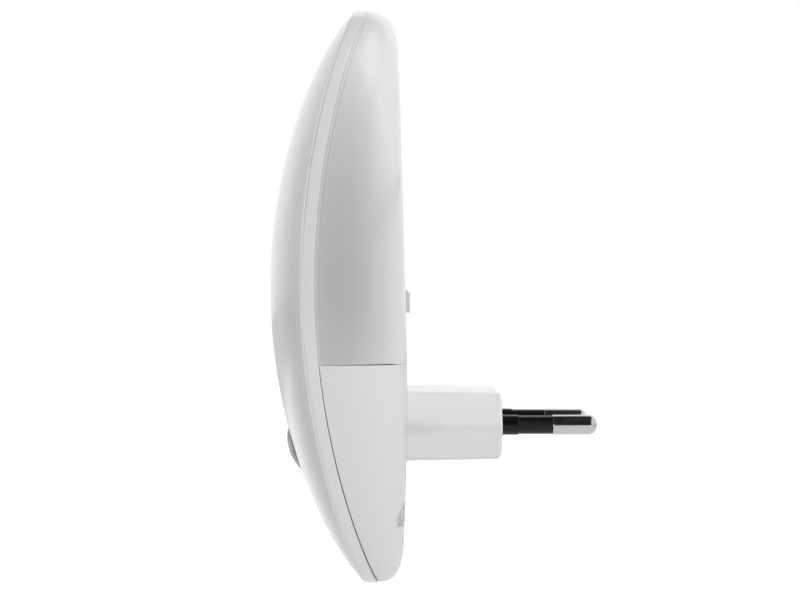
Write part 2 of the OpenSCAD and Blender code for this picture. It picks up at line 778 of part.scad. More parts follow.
// Knob: chamfered head outside, flange behind the wall and a square socket for the lever
module switch_knob() {
    head_y = back_y(knob_height) + knob_rise;
    root_y = knob_seat_y - eps;
    z0 = knob_height - knob_length / 2;
    z1 = knob_height + knob_length / 2;
    head = [
        [root_y, z0], [head_y - head_low[0], z0], [head_y, z0 + head_low[1]],
        [head_y, z1 - head_top[1]], [head_y - head_top[0], z1], [root_y, z1]
    ];
    flange_width = knob_width + 2 * knob_flange_side;
    bore = lever_w + skin;
    color("gainsboro") difference() {
        union() {
            translate([-knob_width / 2, 0, 0]) rotate([90, 0, 90])
                linear_extrude(knob_width) polygon(head);
            block_y(flange_width, knob_flange_length, knob_inner_y, knob_seat_y, 0, knob_height);
            block_y(socket_w, socket_w, socket_floor_y, knob_inner_y + eps, 0, knob_height);
        }
        block_y(bore, bore, socket_floor_y - over, socket_floor_y + socket_depth, 0, knob_height);
    }
}

// ---- Fasteners ------------------------------------------------------------------------------

// Two self-tapping screws with cross recesses, from the housing into the cover's bosses
module housing_screws() {
    seat_y = recess_floor_y + skin;
    top_y = seat_y + head_height;
    color("silver") for (p = screw_places) difference() {
        union() {
            rod_y(head_r, seat_y, top_y, p[0], p[1]);
            rod_y(screw_diameter / 2 - thread_depth, seat_y - screw_length, seat_y + eps, p[0], p[1]);
        }
        for (w = [cross, [cross[1], cross[0]]])
            block_y(w[0], w[1], top_y - cross_depth, top_y + over, p[0], p[1]);
    }
}

front_cover();
diffuser();
rear_housing();
plug_body();
pin(-1);  // pin_left
pin(1);  // pin_right
pin_sleeve(-1);  // pin_sleeve_left
pin_sleeve(1);  // pin_sleeve_right
contact_strip(-1);  // contact_strip_left
contact_strip(1);  // contact_strip_right
circuit_board();
leds();
driver_chip();
chip_resistors();
film_capacitor();
smoothing_capacitor();
bridge_rectifier();
fuse_resistor();
sensor_lens();
sensor_shroud();
photocell();
switch_case();
switch_lever();
switch_knob();
housing_screws();
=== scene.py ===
"""Looks of the plug-in night light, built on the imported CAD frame.

Everything is in metres in the CAD frame: the origin is the centre of the plug face, +Y runs
along the pins into the socket, +Z is up and the lamp's front faces -Y. The smooth shells follow
the same formulas as the CAD shells, from sizes that are read off the CAD pieces.
"""

import logging
import math
from collections.abc import Callable, Iterable, Sequence
from dataclasses import dataclass, field
from enum import Enum

import bmesh
import bpy
from mathutils import Matrix, Vector


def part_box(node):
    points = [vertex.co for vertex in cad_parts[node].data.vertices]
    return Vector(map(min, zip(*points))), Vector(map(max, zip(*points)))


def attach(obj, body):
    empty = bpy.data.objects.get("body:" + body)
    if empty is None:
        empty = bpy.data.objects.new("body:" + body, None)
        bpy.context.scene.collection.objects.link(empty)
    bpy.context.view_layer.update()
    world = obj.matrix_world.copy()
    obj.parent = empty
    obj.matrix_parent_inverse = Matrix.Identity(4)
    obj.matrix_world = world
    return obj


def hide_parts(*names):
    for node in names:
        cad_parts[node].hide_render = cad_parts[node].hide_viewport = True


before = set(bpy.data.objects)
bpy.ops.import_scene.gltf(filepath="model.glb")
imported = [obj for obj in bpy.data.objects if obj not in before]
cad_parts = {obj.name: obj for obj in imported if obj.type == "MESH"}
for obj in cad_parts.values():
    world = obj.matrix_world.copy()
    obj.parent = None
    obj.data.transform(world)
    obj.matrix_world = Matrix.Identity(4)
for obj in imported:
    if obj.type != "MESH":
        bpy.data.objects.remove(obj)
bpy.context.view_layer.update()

log = logging.getLogger("night_light")
logging.basicConfig(level=logging.INFO, format="%(name)s: %(message)s")

MM = 0.001
SHARP_ANGLE = 32.0              # edges that turn by more degrees than this stay sharp
WELD = 1e-7                     # points closer than this are one point
SLACK = 1e-6                    # how far off a plane a point may lie and still count as on it
ROUND_MIDDLE = 0.3              # how far in the middle of a small rounding lies, as a share of its radius

# Places of the vector sockets of a Map Range node, which share their names with the plain ones.
RANGE_VECTOR, RANGE_FROM_MIN, RANGE_FROM_MAX, RANGE_TO_MIN, RANGE_TO_MAX = 6, 7, 8, 9, 10
RANGE_VECTOR_RESULT = 1

# A ring's place as a function of the angle around the oval, in radians.
RingPlace = Callable[[float], Vector]

# Three lengths, or a place, along X, Y and Z.
Triple = tuple[float, float, float]


class Body(Enum):
    """The CAD's rigid bodies."""

    LAMP = "lamp"
    SWITCH = "switch"


class Bevelled(Enum):
    """What a bevel softens."""

    EDGES = "EDGES"
    CORNERS = "VERTICES"


def sin_deg(angle: float) -> float:
    """Sine of an angle in degrees."""
    return math.sin(math.radians(angle))


def cos_deg(angle: float) -> float:
    """Cosine of an angle in degrees."""
    return math.cos(math.radians(angle))


# ---- Materials --------------------------------------------------------------------------------


class TreeWriter:
    """Adds nodes and links to a shader node tree."""

    def __init__(self, tree: bpy.types.NodeTree) -> None:
        """Keeps the tree that is written."""
        self.tree = tree

    def node(self, kind: str, **values: object) -> bpy.types.Node:
        """Adds a node and sets its properties.

        Args:
            kind: the node's type.
            values: properties by name.

        Returns:
            The new node.
        """
        made = self.tree.nodes.new(kind)
        for key, value in values.items():
            setattr(made, key, value)
        return made

    def link(self, source: bpy.types.NodeSocket, target: bpy.types.NodeSocket) -> None:
        """Links two sockets."""
        self.tree.links.new(source, target)


class GroupMaker(TreeWriter):
    """Builds a shader node group with named sockets."""

    def __init__(self, name: str, inputs: Sequence[tuple], outputs: Sequence[tuple]) -> None:
        """Makes the empty group and its sockets.

        Args:
            name: name of the group.
            inputs: name, socket type and default of each input.
            outputs: name and socket type of each output.
        """
        super().__init__(bpy.data.node_groups.new(name, "ShaderNodeTree"))
        for label, kind, value in inputs:
            socket = self.tree.interface.new_socket(label, in_out="INPUT", socket_type=kind)
            socket.default_value = value
        for label, kind in outputs:
            self.tree.interface.new_socket(label, in_out="OUTPUT", socket_type=kind)
        self.start = self.node("NodeGroupInput")
        self.end = self.node("NodeGroupOutput")


def make_moulded_group() -> bpy.types.ShaderNodeTree:
    """Builds the shared effect of moulded plastic: flow clouding and a fine orange peel.

    Returns:
        The group. Its Tone is about 0 to 1 around 0.5, and its Height is in metres.
    """
    maker = GroupMaker(
        "moulded_surface",
        [("Cloud Scale", "NodeSocketFloat", 60.0), ("Peel Scale", "NodeSocketFloat", 1500.0),
         ("Peel Height", "NodeSocketFloat", 0.004 * MM)],
        [("Tone", "NodeSocketFloat"), ("Height", "NodeSocketFloat")],
    )
    place = maker.node("ShaderNodeTexCoord")
    cloud = maker.node("ShaderNodeTexNoise")
    cloud.inputs["Detail"].default_value = 4.0
    peel = maker.node("ShaderNodeTexNoise")
    peel.inputs["Detail"].default_value = 2.0
    height = maker.node("ShaderNodeMath", operation="MULTIPLY")
    maker.link(place.outputs["Object"], cloud.inputs["Vector"])
    maker.link(place.outputs["Object"], peel.inputs["Vector"])
    maker.link(maker.start.outputs["Cloud Scale"], cloud.inputs["Scale"])
    maker.link(maker.start.outputs["Peel Scale"], peel.inputs["Scale"])
    maker.link(peel.outputs["Fac"], height.inputs[0])
    maker.link(maker.start.outputs["Peel Height"], height.inputs[1])
    maker.link(cloud.outputs["Fac"], maker.end.inputs["Tone"])
    maker.link(height.outputs[0], maker.end.inputs["Height"])
    return maker.tree


def make_turned_group() -> bpy.types.ShaderNodeTree:
    """Builds the shared effect of turned metal: fine rings along Y and soft stains.

    Returns:
        The group. Its Tone is about 0 to 1, and its Height is in metres.
    """
    maker = GroupMaker(
        "turned_surface",
        [("Ring Scale", "NodeSocketFloat", 3000.0), ("Ring Height", "NodeSocketFloat", 0.002 * MM)],
        [("Tone", "NodeSocketFloat"), ("Height", "NodeSocketFloat")],
    )
    place = maker.node("ShaderNodeTexCoord")
    stretch = maker.node("ShaderNodeVectorMath", operation="MULTIPLY")
    stretch.inputs[1].default_value = (0.02, 1.0, 0.02)
    rings = maker.node("ShaderNodeTexNoise")
    rings.inputs["Detail"].default_value = 3.0
    stains = maker.node("ShaderNodeTexNoise")
    stains.inputs["Scale"].default_value = 320.0
    height = maker.node("ShaderNodeMath", operation="MULTIPLY")
    maker.link(place.outputs["Object"], stretch.inputs[0])
    maker.link(stretch.outputs["Vector"], rings.inputs["Vector"])
    maker.link(place.outputs["Object"], stains.inputs["Vector"])
    maker.link(maker.start.outputs["Ring Scale"], rings.inputs["Scale"])
    maker.link(rings.outputs["Fac"], height.inputs[0])
    maker.link(maker.start.outputs["Ring Height"], height.inputs[1])
    maker.link(stains.outputs["Fac"], maker.end.inputs["Tone"])
    maker.link(height.outputs[0], maker.end.inputs["Height"])
    return maker.tree


def make_shade_group() -> bpy.types.ShaderNodeTree:
    """Builds the shared effect of a soft shade around one place.

    Returns:
        The group. Its Share runs from 0 in the middle of the shade to 1 outside it.
    """
    maker = GroupMaker(
        "soft_shade",
        [("Middle", "NodeSocketVector", (0.0, 0.0, 0.0)), ("Reach", "NodeSocketVector", (1.0, 1.0, 1.0))],
        [("Share", "NodeSocketFloat")],
    )
    place = maker.node("ShaderNodeTexCoord")
    away = maker.node("ShaderNodeVectorMath", operation="SUBTRACT")
    scaled = maker.node("ShaderNodeVectorMath", operation="DIVIDE")
    square = maker.node("ShaderNodeVectorMath", operation="DOT_PRODUCT")
    share = maker.node("ShaderNodeClamp")
    maker.link(place.outputs["Object"], away.inputs[0])
    maker.link(maker.start.outputs["Middle"], away.inputs[1])
    maker.link(away.outputs["Vector"], scaled.inputs[0])
    maker.link(maker.start.outputs["Reach"], scaled.inputs[1])
    maker.link(scaled.outputs["Vector"], square.inputs[0])
    maker.link(scaled.outputs["Vector"], square.inputs[1])
    maker.link(square.outputs["Value"], share.inputs["Value"])
    maker.link(share.outputs["Result"], maker.end.inputs["Share"])
    return maker.tree


# A started material, its Principled shader and the node that holds its group.
Started = tuple[bpy.types.Material, bpy.types.Node, bpy.types.Node]


class Groups:
    """The shared node groups, built once."""

    def __init__(self) -> None:
        """Builds the groups."""
        self.moulded = make_moulded_group()
        self.shade = make_shade_group()
        self.turned = make_turned_group()


@dataclass(frozen=True)
class Finish:
    """What every finish shares: a colour, a gloss and how much both vary over the surface."""

    name: str
    colour: Triple
    roughness: float = 0.3
    tone_change: float = 0.02
    gloss_change: float = 0.04
    least_roughness: float = 0.02

    def start(self, tree: bpy.types.ShaderNodeTree) -> Started:
        """Makes the material with this finish's group feeding its shader.

        Args:
            tree: the shared group, which has Tone and Height outputs.

        Returns:
            The material, its Principled shader and the node that holds the group.
        """
        material = bpy.data.materials.new(self.name)
        material.use_nodes = True
        writer = TreeWriter(material.node_tree)
        shader = material.node_tree.nodes["Principled BSDF"]
        effect = writer.node("ShaderNodeGroup", node_tree=tree)
        colour = writer.node("ShaderNodeMapRange", data_type="FLOAT_VECTOR")
        colour.inputs[RANGE_FROM_MIN].default_value = (0.0,) * 3
        colour.inputs[RANGE_FROM_MAX].default_value = (1.0,) * 3
        low, high = 1 - self.tone_change, 1 + self.tone_change
        colour.inputs[RANGE_TO_MIN].default_value = [c * low for c in self.colour]
        colour.inputs[RANGE_TO_MAX].default_value = [min(1.0, c * high) for c in self.colour]
        gloss = writer.node("ShaderNodeMapRange")
        gloss.inputs["To Min"].default_value = max(self.least_roughness, self.roughness - self.gloss_change)
        gloss.inputs["To Max"].default_value = self.roughness + self.gloss_change
        bump = writer.node("ShaderNodeBump")
        bump.inputs["Distance"].default_value = 1.0
        writer.link(effect.outputs["Tone"], colour.inputs[RANGE_VECTOR])
        writer.link(effect.outputs["Tone"], gloss.inputs["Value"])
        writer.link(colour.outputs[RANGE_VECTOR_RESULT], shader.inputs["Base Color"])
        writer.link(gloss.outputs["Result"], shader.inputs["Roughness"])
        writer.link(effect.outputs["Height"], bump.inputs["Height"])
        writer.link(bump.outputs["Normal"], shader.inputs["Normal"])
        return material, shader, effect


@dataclass(frozen=True)
class Plastic(Finish):
    """Moulded plastic, solid or milky."""

    ior: float = 1.5
    coat: float = 0.0
    coat_roughness: float = 0.08
    milkiness: float = 0.0
    milk_depth: float = 1.2 * MM
    peel_height: float = 0.003 * MM

    def build(self, groups: Groups) -> bpy.types.Material:
        """Makes the material from the shared moulded effect.

        Args:
            groups: the shared groups.

        Returns:
            The material.
        """
        material, shader, effect = self.start(groups.moulded)
        effect.inputs["Peel Height"].default_value = self.peel_height
        shader.inputs["IOR"].default_value = self.ior
        shader.inputs["Coat Weight"].default_value = self.coat
        shader.inputs["Coat Roughness"].default_value = self.coat_roughness
        shader.inputs["Subsurface Weight"].default_value = self.milkiness
        shader.inputs["Subsurface Radius"].default_value = (1.0, 1.0, 1.0)
        shader.inputs["Subsurface Scale"].default_value = self.milk_depth
        return material


@dataclass(frozen=True)
class Shaded(Plastic):
    """Plastic with painted shade around one place, such as the board's shade seen through a milky wall."""

    darkest: float = 0.66
    shade_middle: Triple = (0.0, -31.0 * MM, 27.0 * MM)
    shade_reach: Triple = (1.0, 11.0 * MM, 46.0 * MM)

    def build(self, groups: Groups) -> bpy.types.Material:
        """Makes the plastic and darkens it around its place.

        Args:
            groups: the shared groups.

        Returns:
            The material.
        """
        material = super().build(groups)
        self.darken(material, groups, self.darkest, self.shade_middle, self.shade_reach)
        return material

    @staticmethod
    def darken(material: bpy.types.Material, groups: Groups, darkest: float, middle: Triple,
               reach: Triple) -> None:
        """Darkens a material's colour around one place.

        Args:
            material: the material, whose colour is linked.
            groups: the shared groups.
            darkest: share of the colour that is left in the middle.
            middle: the place.
            reach: how far the shade goes along each axis.
        """
        writer = TreeWriter(material.node_tree)
        base = material.node_tree.nodes["Principled BSDF"].inputs["Base Color"]
        plain = base.links[0].from_socket
        spot = writer.node("ShaderNodeGroup", node_tree=groups.shade)
        spot.inputs["Middle"].default_value = middle
        spot.inputs["Reach"].default_value = reach
        level = writer.node("ShaderNodeMapRange")
        level.inputs["To Min"].default_value = darkest
        level.inputs["To Max"].default_value = 1.0
        shade = writer.node("ShaderNodeVectorMath", operation="SCALE")
        writer.link(spot.outputs["Share"], level.inputs["Value"])
        writer.link(plain, shade.inputs[0])
        writer.link(level.outputs["Result"], shade.inputs["Scale"])
        writer.link(shade.outputs["Vector"], base)


@dataclass(frozen=True)
class RidgeShaded(Shaded):
    """Shaded plastic with a fine line of painted shade along its middle, on the ridge where the halves of
    its mould met.
    """

    line_level: float = 0.92
    line_middle: Triple = (0.0, 0.0, 0.0)
    line_reach: Triple = (1.0, 1.0, 0.75 * MM)

    def build(self, groups: Groups) -> bpy.types.Material:
        """Makes the shaded plastic and adds the line of painted shade.

        Args:
            groups: the shared groups.

        Returns:
            The material.
        """
        material = super().build(groups)
        self.darken(material, groups, self.line_level, self.line_middle, self.line_reach)
        return material


@dataclass(frozen=True)
class Metal(Finish):
    """Turned, stamped or plated metal."""

    ring_height: float = 0.0015 * MM

    def build(self, groups: Groups) -> bpy.types.Material:
        """Makes the material from the shared turned effect.

        Args:
            groups: the shared groups.

        Returns:
            The material.
        """
        material, shader, effect = self.start(groups.turned)
        effect.inputs["Ring Height"].default_value = self.ring_height
        shader.inputs["Metallic"].default_value = 1.0
        return material


class Finishes:
    """All finishes of the lamp by slot name, built once as materials."""

    WHITE_COVER = Plastic("white_cover", (0.80, 0.80, 0.80), coat=0.6, milkiness=0.05)
    # Painted shade on the rim bead, around the same place as on the diffuser but weaker.
    MILKY_RIM = Shaded("milky_rim", (0.80, 0.80, 0.80), roughness=0.24, coat=0.3, milkiness=0.2,
                       darkest=0.75)
    # Painted shade on the diffuser: the board's shade seen through the wall, darkest at mid-height a little
    # behind the rim and lighter towards the top, bottom and rear.
    MILKY = Shaded("milky_diffuser", (0.82, 0.82, 0.82), roughness=0.24, coat=0.3, milkiness=0.35)
    WHITE_HOUSING = Plastic("white_housing", (0.80, 0.80, 0.80), roughness=0.38, coat=0.1, milkiness=0.05)
    # Painted shade around the stem's root, where it meets the body, and a painted line of shade along the
    # ridge.
    PLUG_WHITE = RidgeShaded("plug_white", (0.84, 0.84, 0.84), roughness=0.24, milkiness=0.05, darkest=0.90,
                         shade_middle=(0.0, -20.0 * MM, 0.0), shade_reach=(1.0, 9.0 * MM, 2.2 * MM))
    KNOB_WHITE = Plastic("knob_white", (0.62, 0.62, 0.62), roughness=0.4)
    SLEEVE = Plastic("black_sleeve", (0.006, 0.006, 0.006), roughness=0.24, tone_change=0.2, ior=1.33)
    LENS = Plastic("lens_grey", (0.26, 0.26, 0.27), tone_change=0.05, coat=0.3, milkiness=0.2)
    SHROUD = Plastic("shroud_black", (0.02, 0.02, 0.02), roughness=0.6, tone_change=0.2)
    BOARD = Plastic("board_green", (0.05, 0.22, 0.1), roughness=0.35, tone_change=0.15)
    LED = Plastic("led_yellow", (0.85, 0.8, 0.45), roughness=0.35, tone_change=0.05)
    CHIP = Plastic("chip_black", (0.03, 0.03, 0.032), roughness=0.55, tone_change=0.2)
    FILM = Plastic("film_ochre", (0.7, 0.48, 0.12))
    CAN = Plastic("can_blue", (0.03, 0.05, 0.22), roughness=0.25, tone_change=0.1)
    FUSE = Plastic("fuse_beige", (0.66, 0.52, 0.34), roughness=0.7, tone_change=0.1)
    CELL = Plastic("cell_red", (0.5, 0.1, 0.06), tone_change=0.2)
    PLATED = Metal("plated_metal", (0.56, 0.56, 0.57), roughness=0.14, tone_change=0.05)
    BRASS = Metal("brass", (0.8, 0.6, 0.25), tone_change=0.08)
    STEEL = Metal("screw_steel", (0.55, 0.55, 0.56), roughness=0.32, tone_change=0.08)

    def __init__(self) -> None:
        """Builds a material for every finish."""
        groups = Groups()
        named = [value for value in vars(type(self)).values() if isinstance(value, Finish)]
        self.made = {finish.name: finish.build(groups) for finish in named}

    def of(self, finish: Finish) -> bpy.types.Material:
        """The material of a finish."""
        return self.made[finish.name]


# ---- Mesh tools -------------------------------------------------------------------------------


def verts_in(items: Iterable[object]) -> list[bmesh.types.BMVert]:
    """The points among what an operator made."""
    return [item for item in items if isinstance(item, bmesh.types.BMVert)]


def soften(bm: bmesh.types.BMesh, geom: Sequence[object], offset: float, segments: int,
           what: Bevelled = Bevelled.EDGES, clamp: bool = False) -> None:
    """Rounds or chamfers edges or corners.

    Args:
        bm: the mesh.
        geom: the edges or corners.
        offset: how far the bevel reaches.
        segments: steps of the rounding, 1 for a chamfer.
        what: whether edges or corners are bevelled.
        clamp: whether the bevel stops before it meets another.
    """
    bmesh.ops.bevel(bm, geom=geom, affect=what.value, offset=offset, segments=segments, profile=0.5,
                    material=-1, clamp_overlap=clamp)


def add_block(bm: bmesh.types.BMesh, size: Triple, middle: Triple) -> None:
    """Adds a block with square corners.

    Args:
        bm: the mesh.
        size: its three lengths.
        middle: its middle.
    """
    verts = bmesh.ops.create_cube(bm, size=1.0)["verts"]
    bmesh.ops.scale(bm, vec=size, verts=verts)
    bmesh.ops.translate(bm, vec=middle, verts=verts)


class RingSkin:
    """A closed skin grown ring by ring from one circle, to a pole on either side or round to itself."""

    def __init__(self, place: RingPlace, segments: int) -> None:
        """Makes the first ring.

        Args:
            place: place of each point of the first ring.
            segments: points around the ring.
        """
        self.bm = bmesh.new()
        self.angle = self.bm.verts.layers.float.new("angle")
        made = bmesh.ops.create_circle(self.bm, cap_ends=False, radius=1.0, segments=segments)
        for vert in made["verts"]:
            vert[self.angle] = math.atan2(vert.co.y, vert.co.x)
            vert.co = place(vert[self.angle])
        self.first = list(self.bm.edges)

    def extrude(self, places: Sequence[RingPlace]) -> list[bmesh.types.BMEdge]:
        """Extrudes the first ring through more rings.

        Args:
            places: the rings, in order.

        Returns:
            The edges of the last ring.
        """
        edges = self.first
        for place in places:
            out = bmesh.ops.extrude_edge_only(self.bm, edges=edges)["geom"]
            edges = [item for item in out if isinstance(item, bmesh.types.BMEdge)
                     and all(vert in out for vert in item.verts)]
            for vert in verts_in(out):
                vert.co = place(vert[self.angle])
        return edges

    def grow(self, places: Sequence[RingPlace], pole: Vector) -> None:
        """Extrudes the first ring through more rings and closes it at a pole.

        Args:
            places: the rings, in order.
            pole: the point that closes the skin.
        """
        out = bmesh.ops.extrude_edge_only(self.bm, edges=self.extrude(places))["geom"]
        bmesh.ops.pointmerge(self.bm, verts=verts_in(out), merge_co=pole)

    def close(self, places: Sequence[RingPlace]) -> None:
        """Extrudes the first ring through more rings and joins the last one to the first.

        Args:
            places: the other rings, in order.
        """
        last = self.extrude(places)
        bmesh.ops.bridge_loops(self.bm, edges=[*self.first, *last])

    def finish(self) -> bmesh.types.BMesh:
        """Turns the faces outwards and hands over the mesh."""
        bmesh.ops.recalc_face_normals(self.bm, faces=self.bm.faces)
        return self.bm


def make_piece(name: str, bm: bmesh.types.BMesh, material: bpy.types.Material,
               sharp_angle: float = SHARP_ANGLE) -> bpy.types.Object:
    """Makes an object from a bmesh, smooth except at sharp edges.

    Args:
        name: name of the piece.
        bm: its mesh, which is freed.
        material: its finish.
        sharp_angle: edges sharper than this many degrees stay sharp.

    Returns:
        The new object, linked to the scene.
    """
    mesh = bpy.data.meshes.new(name)
    bm.to_mesh(mesh)
    bm.free()
    mesh.shade_smooth()
    mesh.set_sharp_from_angle(angle=math.radians(sharp_angle))
    mesh.materials.append(material)
    piece = bpy.data.objects.new(name, mesh)
    bpy.context.scene.collection.objects.link(piece)
    return piece


def stand_for(piece: bpy.types.Object, node: str, body: Body = Body.LAMP) -> None:
    """Makes a piece ride on a body and stand for a CAD node, whose own piece is hidden.

    Args:
        piece: the piece.
        node: the CAD node that it replaces.
        body: the rigid body that carries it.
    """
    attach(piece, body.value)
    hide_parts(node)
    log.info("%s: %d faces, stands for %s", piece.name, len(piece.data.polygons), node)


def cut(piece: bpy.types.Object, cutters: Sequence[bpy.types.Object]) -> None:
    """Cuts closed tools out of a piece, removes the tools and evens the shading of what is left.

    Args:
        piece: the piece, whose mesh is replaced by the cut one.
        cutters: closed meshes in the same frame.
    """
    for cutter in cutters:
        change = piece.modifiers.new("cut", "BOOLEAN")
        change.operation = "DIFFERENCE"
        change.solver = "EXACT"
        change.object = cutter
    bpy.context.view_layer.update()
    depsgraph = bpy.context.evaluated_depsgraph_get()
    mesh = bpy.data.meshes.new_from_object(piece.evaluated_get(depsgraph))
    piece.modifiers.clear()
    piece.data = mesh
    mesh.set_sharp_from_angle(angle=math.radians(SHARP_ANGLE))
    even = piece.modifiers.new("even_shading", "WEIGHTED_NORMAL")
    even.keep_sharp = True
    for cutter in cutters:
        data = cutter.data
        bpy.data.objects.remove(cutter)
        bpy.data.meshes.remove(data)


def make_lathe(profile: Sequence[tuple[float, float]], place: Matrix, steps: int = 64) -> bmesh.types.BMesh:
    """Spins a profile around its own Y axis into a closed solid.

    Args:
        profile: radius and distance along the axis of each point, from one end on the axis to the
            other, or round a section that stays off the axis and ends where it starts.
        place: puts the solid in the frame.
        steps: flats around the axis.

    Returns:
        The closed mesh.
    """
    bm = bmesh.new()
    verts = [bm.verts.new((r, y, 0.0)) for r, y in profile]
    edges = [bm.edges.new(pair) for pair in zip(verts, verts[1:])]
    bmesh.ops.spin(bm, geom=verts + edges, cent=(0, 0, 0), axis=(0, 1, 0), angle=math.tau,
                   steps=steps, use_merge=True)
    bmesh.ops.remove_doubles(bm, verts=bm.verts, dist=WELD)
    bmesh.ops.recalc_face_normals(bm, faces=bm.faces)
    bmesh.ops.transform(bm, matrix=place, verts=bm.verts)
    return bm


def arc(middle: tuple[float, float], radius: float, start: float, end: float,
        steps: int) -> list[tuple[float, float]]:
    """Works out points along an arc.

    Args:
        middle: the arc's middle.
        radius: its radius.
        start: angle of its first point, in degrees.
        end: angle of its last point, in degrees.
        steps: steps between the two.

    Returns:
        The points.
    """
    angles = [start + (end - start) * i / steps for i in range(steps + 1)]
    return [(middle[0] + radius * cos_deg(a), middle[1] + radius * sin_deg(a)) for a in angles]


# ---- Body of the lamp -------------------------------------------------------------------------


@dataclass
class BodyForm:
    """The oval body's surfaces, from the boxes of its CAD shells.

    Lengths and places are in metres. Angles run around the oval from +X towards +Z.
    """

    half_w: float
    half_h: float
    centre_z: float
    front_y: float
    rear_y: float
    wall: float = 1.8 * MM
    band_width: float = 2.5 * MM
    rear_step: float = 0.25 * MM
    parting_gap: float = 0.3 * MM
    rear_bow: float = 1.45 * MM
    rear_power: float = 1.3
    rear_apex_z: float = 5.0 * MM
    dome_share: float = 0.278
    dome_cut: float = 0.98
    bow_share: float = 0.384
    rim_apex_rise: float = 2.8 * MM
    corner_side: float = 10.3 * MM
    corner_end: float = 8.9 * MM
    corner_power: float = 2.5

    @classmethod
    def from_frame(cls) -> "BodyForm":
        """Reads the driving sizes off the CAD shells.

        Returns:
            The form.
        """
        low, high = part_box("front_cover")
        return cls(
            half_w=(high[0] - low[0]) / 2, half_h=(high[2] - low[2]) / 2,
            centre_z=(high[2] + low[2]) / 2, front_y=low[1], rear_y=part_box("rear_housing")[1][1],
        )

    def __post_init__(self) -> None:
        """Works out the sizes that follow from the overall ones."""
        depth = self.rear_y - self.front_y
        self.dome_bulge = self.dome_share * depth
        self.rim_bow = self.bow_share * depth
        self.rim_apex_z = self.centre_z + self.rim_apex_rise

    def oval(self, ax: float, az: float, angle: float) -> tuple[float, float]:
        """X and Z on an oval with the given half axes."""
        return ax * math.cos(angle), self.centre_z + az * math.sin(angle)

    def crease_y(self, z: float) -> float:
        """Y of the edge between dome and band."""
        return self.front_y + self.dome_bulge + self.rim_bow * ((z - self.rim_apex_z) / self.half_h) ** 2

    def back_y(self, z: float) -> float:
        """Y of the rear face."""
        return self.rear_y - self.rear_bow * (abs(z - self.rear_apex_z) / self.half_h) ** self.rear_power

    def front_pole(self, depth: float) -> Vector:
        """The middle of the dome, or of a face that lies deeper."""
        return Vector((0, self.front_y + depth, self.centre_z))

    def back_pole(self, depth: float) -> Vector:
        """The middle of the rear face, or of a face that lies deeper."""
        return Vector((0, self.back_y(self.centre_z) - depth, self.centre_z))

    def rim_y(self, angle: float) -> float:
        """Y of the band's rear edge."""
        return self.crease_y(self.centre_z + self.half_h * math.sin(angle)) + self.band_width

    def cap(self, reach: float) -> float:
        """Height of a cut-off ellipsoid, from 1 at its top to 0 at its edge."""
        edge = math.sqrt(1 - self.dome_cut ** 2)
        return (math.sqrt(1 - (self.dome_cut * reach) ** 2) - edge) / (1 - edge)

    def dome_y(self, x: float, z: float) -> float:
        """Y of the dome at a point of its face."""
        reach = min(1.0, math.hypot(x / self.half_w, (z - self.centre_z) / self.half_h))
        return self.crease_y(z) - self.dome_bulge * self.cap(reach)

    def dome_ring(self, share: float, inset: float, back: float) -> RingPlace:
        """Gives a ring of the dome.

        Args:
            share: size of the ring, as a share of the outline.
            inset: how far the outline is drawn in.
            back: how far the ring lies behind the dome's face.

        Returns:
            The ring's place.
        """
        def place(angle: float) -> Vector:
            """Place of the ring's point at an angle."""
            x, z = self.oval((self.half_w - inset) * share, (self.half_h - inset) * share, angle)
            return Vector((x, self.dome_y(x, z) + back, z))
        return place

    def rim_ring(self, inset: float, back: float, widening: float = 0.0) -> RingPlace:
        """Gives a ring that follows the rim.

        Args:
            inset: how far the outline is drawn in.
            back: how far the ring lies behind the rim.
            widening: how much further behind it lies at the bottom.

        Returns:
            The ring's place.
        """
        def place(angle: float) -> Vector:
            """Puts the ring's point at an angle.

            Args:
                angle: the angle around the oval.

            Returns:
                The point.
            """
            x, z = self.oval(self.half_w - inset, self.half_h - inset, angle)
            low = min(1.0, max(0.0, (self.rim_apex_z - z) / self.half_h))
            return Vector((x, self.rim_y(angle) + back + widening * low, z))
        return place

    def corner_ring(self, turn: float, inset: float, depth_cut: float) -> RingPlace:
        """Gives a ring of the rear shell's rounded corner.

        Args:
            turn: how far round the corner it lies, from 0 at the rim to 90 on the rear face.
            inset: how far it is drawn in at the rim.
            depth_cut: how far it lies in front of the rear face.

        Returns:
            The ring's place.
        """
        c = max(0.0, cos_deg(turn)) ** (2 / self.corner_power)
        s = sin_deg(turn) ** (2 / self.corner_power)

        def place(angle: float) -> Vector:
            """Puts the ring's point at an angle.

            Args:
                angle: the angle around the oval.

            Returns:
                The point.
            """
            ax = self.half_w - self.corner_side + (self.corner_side - inset) * c
            az = self.half_h - self.corner_end + (self.corner_end - inset) * c
            x, z = self.oval(ax, az, angle)
            y0 = self.rim_y(angle) + self.parting_gap
            return Vector((x, y0 + (self.back_y(z) - depth_cut - y0) * s, z))
        return place

    def face_ring(self, share: float, depth_cut: float) -> RingPlace:
        """Gives a ring of the flat rear face.

        Args:
            share: size of the ring, as a share of the face.
            depth_cut: how far it lies in front of the rear face.

        Returns:
            The ring's place.
        """
        ax, az = self.half_w - self.corner_side, self.half_h - self.corner_end

        def place(angle: float) -> Vector:
            """Place of the ring's point at an angle."""
            x, z = self.oval(ax * share, az * share, angle)
            return Vector((x, self.back_y(z) - depth_cut, z))
        return place


